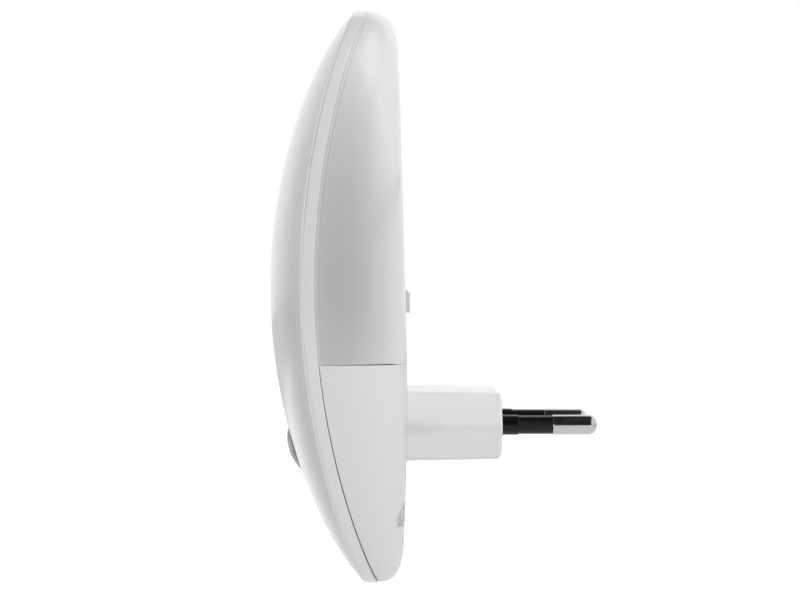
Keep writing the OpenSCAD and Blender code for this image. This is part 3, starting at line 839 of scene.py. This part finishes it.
@dataclass
class FrontCover:
    """White front cover: dome, smooth side band and a lip that reaches into the rear shells."""

    form: BodyForm
    shoulder: float = 0.14 * MM
    shoulder_rise: float = 0.22 * MM
    edge: float = 0.04 * MM
    hairline: float = 0.25 * MM
    hairline_z: tuple[float, float] = (34.0 * MM, 50.0 * MM)
    crease_width: float = 0.14 * MM
    lip_inset: float = 2.3 * MM
    lip_thickness: float = 1.0 * MM
    lip_length: float = 1.4 * MM
    dome_turns: tuple[float, ...] = tuple(range(86, 0, -4))
    shoulder_turns: tuple[float, ...] = (0, 15, 35, 60, 90)
    edge_turns: tuple[float, ...] = (0, 30, 60, 90)
    side_shares: tuple[float, ...] = (0.66, 0.33)
    inside_shares: tuple[float, ...] = (1.0, 0.9, 0.75, 0.55, 0.3)
    segments: int = 240

    def dome_rings(self) -> list[RingPlace]:
        """Rings of the dome from its edge to near its centre."""
        return [self.form.dome_ring(sin_deg(turn), self.shoulder, 0.0) for turn in self.dome_turns]

    def hairline_ring(self) -> RingPlace:
        """Gives the ring of the fine crease line between dome and band, which deepens towards the top.

        Returns:
            The ring's place.
        """
        back = self.crease_width / 2 - self.form.band_width
        level = self.form.rim_ring(self.shoulder, back)
        sunk = self.form.rim_ring(self.shoulder + self.hairline, back)
        start, full = self.hairline_z

        def place(angle: float) -> Vector:
            """Puts the ring's point at an angle.

            Args:
                angle: the angle around the oval.

            Returns:
                The point.
            """
            point = level(angle)
            share = min(1.0, max(0.0, (point.z - start) / (full - start)))
            return point.lerp(sunk(angle), share)
        return place

    def band_rings(self) -> list[RingPlace]:
        """Lists the rings from the dome's edge over the band's shoulder, along the band and down its lip.

        Returns:
            The rings, in order.
        """
        form, top = self.form, -self.form.band_width
        rings = [self.hairline_ring()]
        for turn in self.shoulder_turns:
            back = top + self.shoulder_rise * (1 - cos_deg(turn)) + self.crease_width
            rings.append(form.rim_ring(self.shoulder * (1 - sin_deg(turn)), back))
        rings += [form.rim_ring(0.0, top * share) for share in self.side_shares]
        for turn in self.edge_turns:
            rings.append(form.rim_ring(self.edge * (1 - cos_deg(turn)), -self.edge * (1 - sin_deg(turn))))
        rings.append(form.rim_ring(self.lip_inset, 0.0))
        rings.append(form.rim_ring(self.lip_inset, self.lip_length))
        rings.append(form.rim_ring(self.lip_inset + self.lip_thickness, self.lip_length))
        return rings

    def inside_rings(self) -> list[RingPlace]:
        """Rings of the dome's inner face, from the lip to near its centre."""
        inset = self.lip_inset + self.lip_thickness
        return [self.form.dome_ring(share, inset, self.form.wall) for share in self.inside_shares]

    def build(self, finishes: Finishes) -> bpy.types.Object:
        """Builds the cover.

        Args:
            finishes: the lamp's materials.

        Returns:
            The piece.
        """
        form = self.form
        skin = RingSkin(form.dome_ring(1.0, self.shoulder, 0.0), self.segments)
        skin.grow(self.dome_rings(), form.front_pole(0.0))
        skin.grow(self.band_rings() + self.inside_rings(), form.front_pole(form.wall))
        piece = make_piece("front_shell", skin.finish(), finishes.of(Finishes.WHITE_COVER))
        stand_for(piece, "front_cover")
        return piece


@dataclass
class RearShell:
    """The rear cup, whose halves are the milky diffuser and the white housing."""

    form: BodyForm
    seam_z: float
    seam_gap: float = 0.2 * MM
    edge: float = 0.14 * MM
    close_gap: float = 0.01 * MM
    gap_widening: float = 0.26 * MM
    bead: float = 0.5 * MM
    bead_edge: float = 0.04 * MM
    groove: float = 0.1 * MM
    groove_depth: float = 0.06 * MM
    seam_tilt: float = 0.014
    seam_close: float = 3.0 * MM
    seam_slope: float = 12.0
    seam_edge: float = 0.1 * MM
    slot_edge: float = 0.5 * MM
    slot_depth: float = 6.0 * MM
    merge: float = 0.2 * MM
    first_turns: tuple[float, ...] = (3, 5.5)
    corner_turns: tuple[float, ...] = (9, 14, 20, 26, 32, 38, 44, 50, 56, 62, 68, 74, 80, 86, 90)
    face_shares: tuple[float, ...] = (0.93, 0.84, 0.74, 0.63, 0.51, 0.38, 0.25, 0.12)
    edge_turns: tuple[float, ...] = (30, 60, 90)
    inner_turns: tuple[float, ...] = (6, 12, 25, 40, 55, 70, 90)
    inner_shares: tuple[float, ...] = (0.6, 0.3)
    segments: int = 240

    @classmethod
    def from_frame(cls, form: BodyForm) -> "RearShell":
        """Reads the seam off the CAD housing's upper edge."""
        return cls(form=form, seam_z=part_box("rear_housing")[1][2] + cls.seam_gap / 2)

    def cup(self, upper: bool) -> bmesh.types.BMesh:
        """Makes the whole cup.

        Args:
            upper: whether it is for the diffuser, which leaves room for the rim bead, or for the
                housing, whose gap to the cover widens downwards.

        Returns:
            The closed mesh.
        """
        form = self.form
        step, wall = form.rear_step, form.rear_step + form.wall
        if upper:
            start, widening, turns = self.close_gap + self.bead + self.groove, 0.0, self.corner_turns
        else:
            start, widening, turns = self.close_gap, self.gap_widening, self.first_turns + self.corner_turns
        skin = RingSkin(form.rim_ring(step, start + self.edge, widening), self.segments)
        outer = [form.corner_ring(turn, step, 0.0) for turn in turns]
        outer += [form.face_ring(share, 0.0) for share in self.face_shares]
        skin.grow(outer, form.back_pole(0.0))
        inner = []
        for turn in self.edge_turns:
            back = start + self.edge * (1 - sin_deg(turn))
            inner.append(form.rim_ring(step + self.edge * (1 - cos_deg(turn)), back, widening))
        inner += [form.corner_ring(turn, wall, form.wall) for turn in self.inner_turns]
        inner += [form.face_ring(share, form.wall) for share in self.inner_shares]
        skin.grow(inner, form.back_pole(form.wall))
        return skin.finish()

    def bead_ring(self) -> bmesh.types.BMesh:
        """Makes the fine bead that runs along the diffuser's rim, as a whole closed ring.

        Returns:
            The closed mesh.
        """
        step, soft = self.form.rear_step, self.bead_edge
        middle = ROUND_MIDDLE * soft
        floor, wall = step + self.groove_depth, step + self.form.wall
        y0, y1 = self.close_gap, self.close_gap + self.bead
        back = y1 + 3 * self.groove
        section = [
            (step, y0 + soft), (step, y1 - soft), (step + middle, y1 - middle), (step + soft, y1),
            (floor, y1), (floor, back), (wall, back), (wall, y0),
            (step + soft, y0), (step + middle, y0 + middle),
        ]
        places = [self.form.rim_ring(inset, y) for inset, y in section]
        skin = RingSkin(places[0], self.segments)
        skin.close(places[1:])
        return skin.finish()

    def cut_at_seam(self, bm: bmesh.types.BMesh, upper: bool) -> bmesh.types.BMesh:
        """Keeps what is above or below the seam, closes the cut and breaks its edge.

        Args:
            bm: a closed mesh, which is changed.
            upper: whether the part above the seam is kept. Its cut edge then rises towards the rear
                and comes down again before the corner.

        Returns:
            The closed part.
        """
        side, tilt = (1.0, self.seam_tilt) if upper else (-1.0, 0.0)
        start_y = self.form.rim_y(0.0)
        out = bmesh.ops.bisect_plane(
            bm, geom=[*bm.verts, *bm.edges, *bm.faces], dist=WELD, clear_inner=True,
            plane_co=(0, start_y, self.seam_z - self.seam_gap / 2), plane_no=(0, -tilt * side, side))
        bmesh.ops.remove_doubles(bm, verts=verts_in(out["geom_cut"]), dist=self.merge)
        rim = [edge for edge in bm.edges if edge.is_boundary]
        for vert in {vert for edge in rim for vert in edge.verts}:
            past = max(0.0, vert.co.y - self.form.rear_y + self.seam_close)
            vert.co.z -= min(self.seam_slope * tilt * past, tilt * (vert.co.y - start_y))
        lids = bmesh.ops.holes_fill(bm, edges=rim, sides=0)["faces"]
        bmesh.ops.recalc_face_normals(bm, faces=bm.faces)
        edges = [edge for face in lids for edge in face.edges]
        soften(bm, edges, self.seam_edge, segments=2, clamp=True)
        return bm

    def build_diffuser(self, finishes: Finishes, slot: Triple) -> list[bpy.types.Object]:
        """Builds the diffuser with the knob's slot and the bead along its rim.

        Args:
            finishes: the lamp's materials.
            slot: width, length and middle height of the slot.

        Returns:
            The shell and the bead.
        """
        milky = finishes.of(Finishes.MILKY)
        piece = make_piece("milky_shell", self.cut_at_seam(self.cup(upper=True), upper=True), milky)
        width, length, mid_z = slot
        tool = bmesh.new()
        add_block(tool, (width, self.slot_depth, length), (0, self.form.rear_y, mid_z))
        upright = [e for e in tool.edges if abs(e.verts[0].co.y - e.verts[1].co.y) > MM]
        soften(tool, upright, self.slot_edge, segments=4)
        cut(piece, [make_piece("slot_tool", tool, milky)])
        stand_for(piece, "diffuser")
        bead = make_piece("rim_bead", self.cut_at_seam(self.bead_ring(), upper=True),
                          finishes.of(Finishes.MILKY_RIM))
        stand_for(bead, "diffuser")
        return [piece, bead]

    def build_housing(self, finishes: Finishes, plug: "PlugBody", screws: "Screws") -> bpy.types.Object:
        """Builds the housing with the plug's opening and the screw recesses.

        Args:
            finishes: the lamp's materials.
            plug: the plug body, whose section opens the rear wall.
            screws: the screws, whose recesses are drilled and lined.

        Returns:
            The piece.
        """
        white = finishes.of(Finishes.WHITE_HOUSING)
        piece = make_piece("white_shell", self.cut_at_seam(self.cup(upper=False), upper=False), white)
        tools = [make_piece(f"recess_tool_{i}", bm, white) for i, bm in enumerate(screws.recesses())]
        tools.append(make_piece("opening_tool", plug.opening(), white))
        cut(piece, tools)
        stand_for(piece, "rear_housing")
        for i, bm in enumerate(screws.recess_cups()):
            cup = make_piece(f"recess_cup_{i}", bm, white)
            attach(cup, Body.LAMP.value)
            log.info("%s: lines a screw recess", cup.name)
        return piece


# ---- Plug -------------------------------------------------------------------------------------


@dataclass
class PlugBody:
    """Flat hexagonal plug body, tapered towards a slightly domed face."""

    half_width: float
    root_y: float
    face_y: float
    half_thickness: float = 7.025 * MM
    half_flat: float = 13.05 * MM
    taper: float = 0.955
    round_flat: float = 1.6 * MM
    round_ridge: float = 0.9 * MM
    edge: float = 0.9 * MM
    crown: float = 0.35 * MM
    slip: float = 0.08 * MM
    root_share: float = 0.8
    opening_depth: float = 3.0 * MM
    side_shares: tuple[float, ...] = (0.02, 0.33, 0.66)
    edge_turns: tuple[float, ...] = tuple(range(0, 91, 15))
    face_shares: tuple[float, ...] = (0.7, 0.4, 0.15)
    sharp_angle: float = 30.0

    @classmethod
    def from_frame(cls, form: BodyForm) -> "PlugBody":
        """Reads the stem's width and length off the CAD plug body.

        Args:
            form: the lamp's body, inside whose rear wall the stem starts.

        Returns:
            The plug body.
        """
        low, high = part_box("plug_body")
        root_y = form.rear_y - cls.root_share * form.wall
        return cls(half_width=(high[0] - low[0]) / 2, root_y=root_y, face_y=high[1])

    def steps(self) -> list[Triple]:
        """Lists the rings from the root to the middle of the domed face.

        Returns:
            Y, share of the root's section and inset of each ring.
        """
        edge_y = self.face_y - self.crown - self.edge
        rings = []
        for share in self.side_shares:
            y = edge_y * share + self.root_y * (1 - share)
            rings.append((y, 1 - (1 - self.taper) * share, 0.0))
        for turn in self.edge_turns:
            rings.append((edge_y + self.edge * sin_deg(turn), self.taper, self.edge * (1 - cos_deg(turn))))
        for share in self.face_shares:
            rings.append((self.face_y - self.crown * share ** 2, self.taper * share, self.edge * share))
        return rings

    def section(self) -> bmesh.types.BMesh:
        """Makes the flat section at the root: a hexagon with a ridge at either side, its corners rounded.

        Returns:
            The section, as one face.
        """
        bm = bmesh.new()
        bmesh.ops.create_circle(bm, cap_ends=True, radius=1.0, segments=6)
        on_axis = 0.1
        if min(abs(vert.co.y) for vert in bm.verts) > on_axis:
            bmesh.ops.rotate(bm, cent=(0, 0, 0), matrix=Matrix.Rotation(math.pi / 2, 3, "Z"), verts=bm.verts)
        ridges = [vert for vert in bm.verts if abs(vert.co.y) < on_axis]
        flats = [vert for vert in bm.verts if vert not in ridges]
        for vert in ridges:
            vert.co = Vector((math.copysign(self.half_width, vert.co.x), self.root_y, 0.0))
        for vert in flats:
            x = math.copysign(self.half_flat, vert.co.x)
            vert.co = Vector((x, self.root_y, math.copysign(self.half_thickness, vert.co.y)))
        soften(bm, flats, self.round_flat, segments=8, what=Bevelled.CORNERS)
        soften(bm, ridges, self.round_ridge, segments=6, what=Bevelled.CORNERS)
        return bm

    def opening(self) -> bmesh.types.BMesh:
        """Makes the tool that opens the housing's wall around the root, with a fine gap.

        Returns:
            The closed tool.
        """
        bm = self.section()
        out = bmesh.ops.extrude_face_region(bm, geom=list(bm.faces))["geom"]
        bmesh.ops.translate(bm, vec=(0, 2 * self.opening_depth, 0), verts=verts_in(out))
        bmesh.ops.translate(bm, vec=(0, -self.opening_depth, 0), verts=bm.verts)
        wider = (1 + self.slip / self.half_width, 1, 1 + self.slip / self.half_thickness)
        bmesh.ops.scale(bm, vec=wider, verts=bm.verts)
        bmesh.ops.recalc_face_normals(bm, faces=bm.faces)
        return bm

    def build(self, finishes: Finishes) -> bpy.types.Object:
        """Builds the plug body.

        Args:
            finishes: the lamp's materials.

        Returns:
            The piece.
        """
        bm = self.section()
        end = list(bm.faces)
        scale_x, scale_z, y = 1.0, 1.0, self.root_y
        for next_y, shrink, inset in self.steps():
            out = bmesh.ops.extrude_face_region(bm, geom=end)["geom"]
            end = [item for item in out if isinstance(item, bmesh.types.BMFace)]
            verts = verts_in(out)
            new_x, new_z = shrink - inset / self.half_width, shrink - inset / self.half_thickness
            bmesh.ops.scale(bm, vec=(new_x / scale_x, 1, new_z / scale_z), verts=verts)
            bmesh.ops.translate(bm, vec=(0, next_y - y, 0), verts=verts)
            scale_x, scale_z, y = new_x, new_z, next_y
        bmesh.ops.recalc_face_normals(bm, faces=bm.faces)
        piece = make_piece("plug_shell", bm, finishes.of(Finishes.PLUG_WHITE), self.sharp_angle)
        stand_for(piece, "plug_body")
        return piece


@dataclass
class Pins:
    """Both pins with their sleeves, toed in towards their tips."""

    pin_r: float = 2.0 * MM
    core_r: float = 1.35 * MM
    sleeve_r: float = 1.84 * MM
    collar: float = 3.3 * MM
    collar_slope: float = 0.25 * MM
    sleeve_end: float = 10.0 * MM
    sleeve_gap: float = 0.02 * MM
    length: float = 19.0 * MM
    root: float = -5.0 * MM
    spacing: float = 18.6 * MM
    tip_spacing: float = 17.5 * MM
    tip_round: float = 1.7 * MM
    soft: float = 0.12 * MM
    soft_slope: float = 0.35
    collar_rise: float = 0.05 * MM
    collar_soft: float = 0.4

    def place(self, side: int) -> Matrix:
        """Gives the pin's own frame, where y = 0 is at the plug face.

        Args:
            side: -1 for the left pin and 1 for the right one.

        Returns:
            The frame.
        """
        tilt = math.atan((self.spacing - self.tip_spacing) / 2 / self.length)
        return Matrix.Translation((side * self.spacing / 2, 0, 0)) @ Matrix.Rotation(side * tilt, 4, "Z")

    def metal_profile(self) -> list[tuple[float, float]]:
        """Outlines the pin, from its hidden root to its domed tip.

        Returns:
            Radius and distance of each point.
        """
        bare, shoulder_r = self.sleeve_end, self.pin_r - self.soft
        tip_middle = (self.pin_r - self.tip_round, self.length - self.tip_round)
        tip = arc(tip_middle, self.tip_round, start=0, end=90, steps=14)
        return [
            (0.0, self.root), (self.core_r, self.root), (self.core_r, bare + self.sleeve_gap),
            (shoulder_r, bare + self.sleeve_gap),
            (self.pin_r - ROUND_MIDDLE * self.soft, bare + self.soft_slope * self.soft),
            (self.pin_r, bare + self.soft), *tip, (0.0, self.length),
        ]

    def sleeve_profile(self) -> list[tuple[float, float]]:
        """Outlines the sleeve, with its collar and rounded steps.

        Returns:
            Radius and distance of each point, with the last one on the first.
        """
        soft, middle, r, end = self.soft, ROUND_MIDDLE * self.soft, self.sleeve_r, self.sleeve_end
        slope_y = self.collar - self.collar_slope
        return [
            (self.core_r, self.root), (self.pin_r, self.root), (self.pin_r, slope_y - soft),
            (self.pin_r - self.collar_soft * soft, slope_y + self.collar_rise), (r, self.collar),
            (r, end - soft), (r - middle, end - middle), (r - soft, end), (self.core_r, end),
            (self.core_r, self.root),
        ]

    def build(self, finishes: Finishes) -> list[bpy.types.Object]:
        """Builds both pins and both sleeves.

        Args:
            finishes: the lamp's materials.

        Returns:
            The four pieces.
        """
        pieces = []
        for side, word in ((-1, "left"), (1, "right")):
            place = self.place(side)
            pin = make_piece(f"metal_pin_{word}", make_lathe(self.metal_profile(), place),
                             finishes.of(Finishes.PLATED))
            stand_for(pin, f"pin_{word}")
            sleeve = make_piece(f"sleeve_{word}", make_lathe(self.sleeve_profile(), place),
                                finishes.of(Finishes.SLEEVE))
            stand_for(sleeve, f"pin_sleeve_{word}")
            pieces += [pin, sleeve]
        return pieces


# ---- Small parts ------------------------------------------------------------------------------


@dataclass
class SensorLens:
    """Grey lens that stands out of the dome, on the dome's own normal."""

    form: BodyForm
    height: float = -5.5 * MM
    radius: float = 4.85 * MM
    rise: float = 1.4 * MM
    root: float = 3.0 * MM
    slope_step: float = 0.5 * MM

    def place(self) -> Matrix:
        """Gives the lens's own frame, whose +Y looks outwards from the dome's face.

        Returns:
            The frame.
        """
        above = self.form.dome_y(0, self.height + self.slope_step)
        below = self.form.dome_y(0, self.height - self.slope_step)
        tilt = math.pi - math.atan((above - below) / (2 * self.slope_step))
        return (Matrix.Translation((0, self.form.dome_y(0, self.height), self.height))
                @ Matrix.Rotation(tilt, 4, "X"))

    def build(self, finishes: Finishes) -> bpy.types.Object:
        """Builds the lens.

        Args:
            finishes: the lamp's materials.

        Returns:
            The piece.
        """
        ball = (self.radius ** 2 + self.rise ** 2) / (2 * self.rise)
        reach = math.degrees(math.asin(self.radius / ball))
        dome = arc((0, self.rise - ball), ball, start=90 - reach, end=90, steps=16)
        profile = [(0.0, -self.root), (self.radius, -self.root), *dome]
        bm = make_lathe(profile, self.place(), steps=72)
        piece = make_piece("grey_lens", bm, finishes.of(Finishes.LENS))
        stand_for(piece, "sensor_lens")
        return piece


@dataclass
class SwitchKnob:
    """Chamfered switch knob, with its flange behind the diffuser's wall."""

    form: BodyForm
    width: float = 4.5 * MM
    length: float = 4.7 * MM
    rise: float = 0.9 * MM
    travel: float = 2.5 * MM
    clearance: float = 0.15 * MM
    chamfer: float = 0.75 * MM
    edge: float = 0.2 * MM
    least_edge: float = 0.3 * MM
    flange_thickness: float = 0.9 * MM
    flange_sink: float = 0.1 * MM
    sharp_angle: float = 25.0

    def middle_z(self) -> float:
        """Height of the knob's middle at rest, from its CAD piece."""
        low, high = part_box("switch_knob")
        return (low[2] + high[2]) / 2

    def slot(self) -> Triple:
        """Width, length and middle height of the slot that the knob runs in."""
        spare = 2 * self.clearance
        return self.width + spare, self.length + self.travel + spare, self.middle_z() + self.travel / 2

    def build(self, finishes: Finishes) -> bpy.types.Object:
        """Builds the knob's head and flange as one piece.

        Args:
            finishes: the lamp's materials.

        Returns:
            The piece.
        """
        low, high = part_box("switch_knob")
        mid, head_y = self.middle_z(), high[1]
        base_y = head_y - self.rise - self.form.wall
        bm = bmesh.new()
        add_block(bm, (self.width, head_y - base_y, self.length), (0, (head_y + base_y) / 2, mid))
        upper = [e for e in bm.edges if all(v.co.y > head_y - SLACK and v.co.z > mid for v in e.verts)]
        soften(bm, upper, self.chamfer, segments=1)
        outer = [e for e in bm.edges if e.calc_length() > self.least_edge
                 and min(v.co.y for v in e.verts) > base_y + SLACK]
        soften(bm, outer, self.edge, segments=3)
        add_block(bm, (high[0] - low[0], self.flange_thickness, high[2] - low[2]),
                  (0, base_y - self.flange_sink, mid))
        bmesh.ops.recalc_face_normals(bm, faces=bm.faces)
        piece = make_piece("knob", bm, finishes.of(Finishes.KNOB_WHITE), self.sharp_angle)
        stand_for(piece, "switch_knob", Body.SWITCH)
        return piece


@dataclass
class Screws:
    """The two recesses in the housing and what lines them."""

    form: BodyForm
    radius: float = 2.6 * MM
    depth: float = 4.2 * MM
    over: float = 1.0 * MM
    lining: float = 0.5 * MM
    lining_sink: float = 0.2 * MM
    floor: float = 1.0 * MM
    hole_r: float = 1.6 * MM
    flats: int = 48

    def places(self) -> list[Matrix]:
        """Gives the frames of the screws on the rear face, from the CAD box that holds both.

        Returns:
            The frame of the left and of the right screw, whose +Y looks out of the lamp.
        """
        low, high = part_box("housing_screws")
        head_r, z = (high[2] - low[2]) / 2, (low[2] + high[2]) / 2
        return [Matrix.Translation((x, self.form.rear_y, z)) for x in (low[0] + head_r, high[0] - head_r)]

    def recesses(self) -> list[bmesh.types.BMesh]:
        """Makes the tools that open the rear wall.

        Returns:
            The closed tools.
        """
        r, deep, over = self.radius, -self.depth, self.over
        profile = [(0.0, deep), (r, deep), (r, over), (0.0, over)]
        return [make_lathe(profile, place, self.flats) for place in self.places()]

    def recess_cups(self) -> list[bmesh.types.BMesh]:
        """Makes the linings of the recesses: the pillar's mouth, a tube with a floor around the screw.

        Returns:
            The closed linings.
        """
        r, outer, deep = self.radius, self.radius + self.lining, -self.depth
        top = -self.form.wall - self.lining_sink
        profile = [
            (self.hole_r, deep), (r, deep), (r, top), (outer, top), (outer, deep - self.floor),
            (self.hole_r, deep - self.floor), (self.hole_r, deep),
        ]
        return [make_lathe(profile, place, self.flats) for place in self.places()]


class Electronics:
    """The CAD pieces inside the lamp, which keep their shape and get a finish."""

    FINISH_OF = {
        "circuit_board": Finishes.BOARD, "leds": Finishes.LED, "driver_chip": Finishes.CHIP,
        "chip_resistors": Finishes.CHIP, "film_capacitor": Finishes.FILM,
        "smoothing_capacitor": Finishes.CAN, "bridge_rectifier": Finishes.CHIP,
        "fuse_resistor": Finishes.FUSE, "sensor_shroud": Finishes.SHROUD, "photocell": Finishes.CELL,
        "contact_strip_left": Finishes.BRASS, "contact_strip_right": Finishes.BRASS,
        "switch_case": Finishes.PLATED, "switch_lever": Finishes.SHROUD, "housing_screws": Finishes.STEEL,
    }

    def dress(self, finishes: Finishes) -> None:
        """Puts each finish on its CAD piece.

        Args:
            finishes: the lamp's materials.
        """
        for node, finish in self.FINISH_OF.items():
            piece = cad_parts[node]
            piece.data.materials.clear()
            piece.data.materials.append(finishes.of(finish))
            log.info("%s: dressed in %s", node, finish.name)


# ---- Studio -----------------------------------------------------------------------------------


@dataclass
class SoftBox:
    """A square soft light that looks at the middle of the lamp."""

    name: str
    place: Triple
    size: float
    power: float
    seen_in_gloss: bool = True
    seen_in_diffuse: bool = True

    def build(self, target: Vector) -> None:
        """Adds the light to the scene.

        Args:
            target: the point that it looks at.
        """
        data = bpy.data.lights.new(self.name, "AREA")
        data.shape = "SQUARE"
        data.size = self.size
        data.energy = self.power
        lamp = bpy.data.objects.new(self.name, data)
        lamp.location = self.place
        lamp.rotation_euler = (target - lamp.location).to_track_quat("-Z", "Y").to_euler()
        lamp.visible_camera = False
        lamp.visible_glossy = self.seen_in_gloss
        lamp.visible_diffuse = self.seen_in_diffuse
        bpy.context.scene.collection.objects.link(lamp)


@dataclass
class Studio:
    """White studio around the lamp: camera, world, floor, dark flags for the reflections and soft lights."""

    camera_place: Triple = (0.322, -0.0206, 0.0251)
    lens_mm: float = 70.0
    sensor_mm: float = 36.0
    near_clip: float = 0.01
    world_level: float = 0.41
    floor_drop: float = 0.11
    floor_size: float = 6.0
    floor_grey: float = 0.6
    floor_glow: float = 0.85
    floor_gloss_glow: float = 0.33
    flag_grey: float = 0.02
    flag_r: float = 0.52
    flag_reach: float = 0.35
    flag_turns: tuple[float, float] = (-2.0, 118.0)
    flag_steps: int = 24
    card_size: tuple[float, float] = (0.14, 0.05)
    card_place: Triple = (0.05, 0.029, 0.055)
    middle: Vector = field(default_factory=lambda: Vector((0.0, -0.03, 0.025)))
    boxes: tuple[SoftBox, ...] = (
        SoftBox("sky_box", (0.0, -0.20, 0.90), 0.80, 1.3, seen_in_gloss=False),
        SoftBox("top_box", (0.11, 0.13, 0.44), 0.24, 0.3),
        SoftBox("camera_box", (0.65, 0.345, 0.10), 0.40, 2.15, seen_in_gloss=False),
        SoftBox("front_box", (-0.60, -0.58, 0.32), 0.40, 4.0, seen_in_gloss=False),
        SoftBox("far_box", (-0.55, 0.20, 0.45), 0.40, 2.0, seen_in_gloss=False),
        SoftBox("edge_box", (0.56, -0.44, 0.0), 0.26, 1.2, seen_in_diffuse=False),
    )

    def build_camera(self) -> None:
        """Sets the camera square to the lamp's side."""
        data = bpy.data.cameras.new("camera")
        data.lens = self.lens_mm
        data.sensor_width = self.sensor_mm
        data.clip_start = self.near_clip
        camera = bpy.data.objects.new("camera", data)
        camera.location = self.camera_place
        camera.rotation_euler = (math.pi / 2, 0.0, math.pi / 2)
        bpy.context.scene.collection.objects.link(camera)
        bpy.context.scene.camera = camera

    def build_world(self) -> None:
        """Makes the world white to the camera, reflections and see-through rays, and dimmer as a light."""
        world = bpy.data.worlds.new("studio")
        bpy.context.scene.world = world
        world.use_nodes = True
        world.node_tree.nodes.clear()
        writer = TreeWriter(world.node_tree)
        path = writer.node("ShaderNodeLightPath")
        either = writer.node("ShaderNodeMath", operation="MAXIMUM")
        seen = writer.node("ShaderNodeMath", operation="MAXIMUM")
        writer.link(path.outputs["Is Camera Ray"], either.inputs[0])
        writer.link(path.outputs["Is Glossy Ray"], either.inputs[1])
        writer.link(either.outputs[0], seen.inputs[0])
        writer.link(path.outputs["Is Transmission Ray"], seen.inputs[1])
        mix = writer.node("ShaderNodeMixShader")
        writer.link(seen.outputs[0], mix.inputs["Fac"])
        for place, strength in ((1, self.world_level), (2, 1.0)):
            white = writer.node("ShaderNodeBackground")
            white.inputs["Color"].default_value = (1, 1, 1, 1)
            white.inputs["Strength"].default_value = strength
            writer.link(white.outputs[0], mix.inputs[place])
        out = writer.node("ShaderNodeOutputWorld")
        writer.link(mix.outputs[0], out.inputs["Surface"])

    def dull_material(self, name: str, grey: float) -> bpy.types.Material:
        """Makes a dull grey material.

        Args:
            name: its name.
            grey: its level.

        Returns:
            The material.
        """
        material = bpy.data.materials.new(name)
        material.use_nodes = True
        shader = material.node_tree.nodes["Principled BSDF"]
        shader.inputs["Base Color"].default_value = (grey, grey, grey, 1)
        shader.inputs["Roughness"].default_value = 1.0
        return material

    def build_floor(self) -> None:
        """Lays a pale floor under the lamp, which reads white and still takes the lamp's shadow."""
        bm = bmesh.new()
        bmesh.ops.create_grid(bm, x_segments=1, y_segments=1, size=self.floor_size)
        bmesh.ops.translate(bm, vec=(0, 0, -self.floor_drop), verts=bm.verts)
        material = self.dull_material("floor_white", self.floor_grey)
        writer = TreeWriter(material.node_tree)
        shader = material.node_tree.nodes["Principled BSDF"]
        shader.inputs["Specular IOR Level"].default_value = 0.0
        path = writer.node("ShaderNodeLightPath")
        gloss = writer.node("ShaderNodeMath", operation="MULTIPLY")
        gloss.inputs[1].default_value = self.floor_gloss_glow
        level = writer.node("ShaderNodeMath", operation="MULTIPLY_ADD")
        level.inputs[1].default_value = self.floor_glow
        glow = writer.node("ShaderNodeEmission")
        both = writer.node("ShaderNodeAddShader")
        writer.link(path.outputs["Is Glossy Ray"], gloss.inputs[0])
        writer.link(path.outputs["Is Camera Ray"], level.inputs[0])
        writer.link(gloss.outputs[0], level.inputs[2])
        writer.link(level.outputs[0], glow.inputs["Strength"])
        writer.link(shader.outputs[0], both.inputs[0])
        writer.link(glow.outputs[0], both.inputs[1])
        writer.link(both.outputs[0], material.node_tree.nodes["Material Output"].inputs["Surface"])
        make_piece("floor", bm, material)

    def bent_ceiling(self) -> bmesh.types.BMesh:
        """Bends a ceiling over the lamp, from the camera's side to the far one.

        Returns:
            The open sheet.
        """
        bm = bmesh.new()
        first, last = (math.radians(a) for a in self.flag_turns)
        ends = [bm.verts.new((self.flag_r, y, 0.0)) for y in (-self.flag_reach, self.flag_reach)]
        edge = bm.edges.new(ends)
        bmesh.ops.rotate(bm, cent=(0, 0, 0), matrix=Matrix.Rotation(-first, 3, "Y"), verts=ends)
        bmesh.ops.spin(bm, geom=[*ends, edge], cent=(0, 0, 0), axis=(0, 1, 0), angle=first - last,
                       steps=self.flag_steps)
        return bm

    def card(self) -> bmesh.types.BMesh:
        """Lays a small card over the pins.

        Returns:
            The open sheet.
        """
        bm = bmesh.new()
        bmesh.ops.create_grid(bm, x_segments=1, y_segments=1, size=0.5)
        bmesh.ops.scale(bm, vec=(*self.card_size, 1), verts=bm.verts)
        bmesh.ops.translate(bm, vec=self.card_place, verts=bm.verts)
        return bm

    def build_flags(self) -> None:
        """Hangs the dark flags, which only reflections see."""
        material = self.dull_material("flag_dark", self.flag_grey)
        for name, bm in (("ceiling_flag", self.bent_ceiling()), ("pin_flag", self.card())):
            flag = make_piece(name, bm, material)
            flag.visible_camera = False
            flag.visible_diffuse = False
            flag.visible_transmission = False
            flag.visible_shadow = False

    def build(self) -> None:
        """Builds the whole studio."""
        self.build_camera()
        self.build_world()
        self.build_floor()
        self.build_flags()
        for box in self.boxes:
            box.build(self.middle)
        log.info("studio: floor, two flags and %d lights", len(self.boxes))


# ---- Making -----------------------------------------------------------------------------------


def main() -> None:
    """Builds the studio, then the lamp from its shells to its small parts."""
    bpy.context.scene.view_settings.view_transform = "Standard"
    Studio().build()
    finishes = Finishes()
    form = BodyForm.from_frame()
    plug = PlugBody.from_frame(form)
    screws = Screws(form)
    knob = SwitchKnob(form)
    FrontCover(form).build(finishes)
    rear = RearShell.from_frame(form)
    rear.build_diffuser(finishes, knob.slot())
    rear.build_housing(finishes, plug, screws)
    plug.build(finishes)
    Pins().build(finishes)
    SensorLens(form).build(finishes)
    knob.build(finishes)
    Electronics().dress(finishes)


if __name__ == "__main__":
    main()
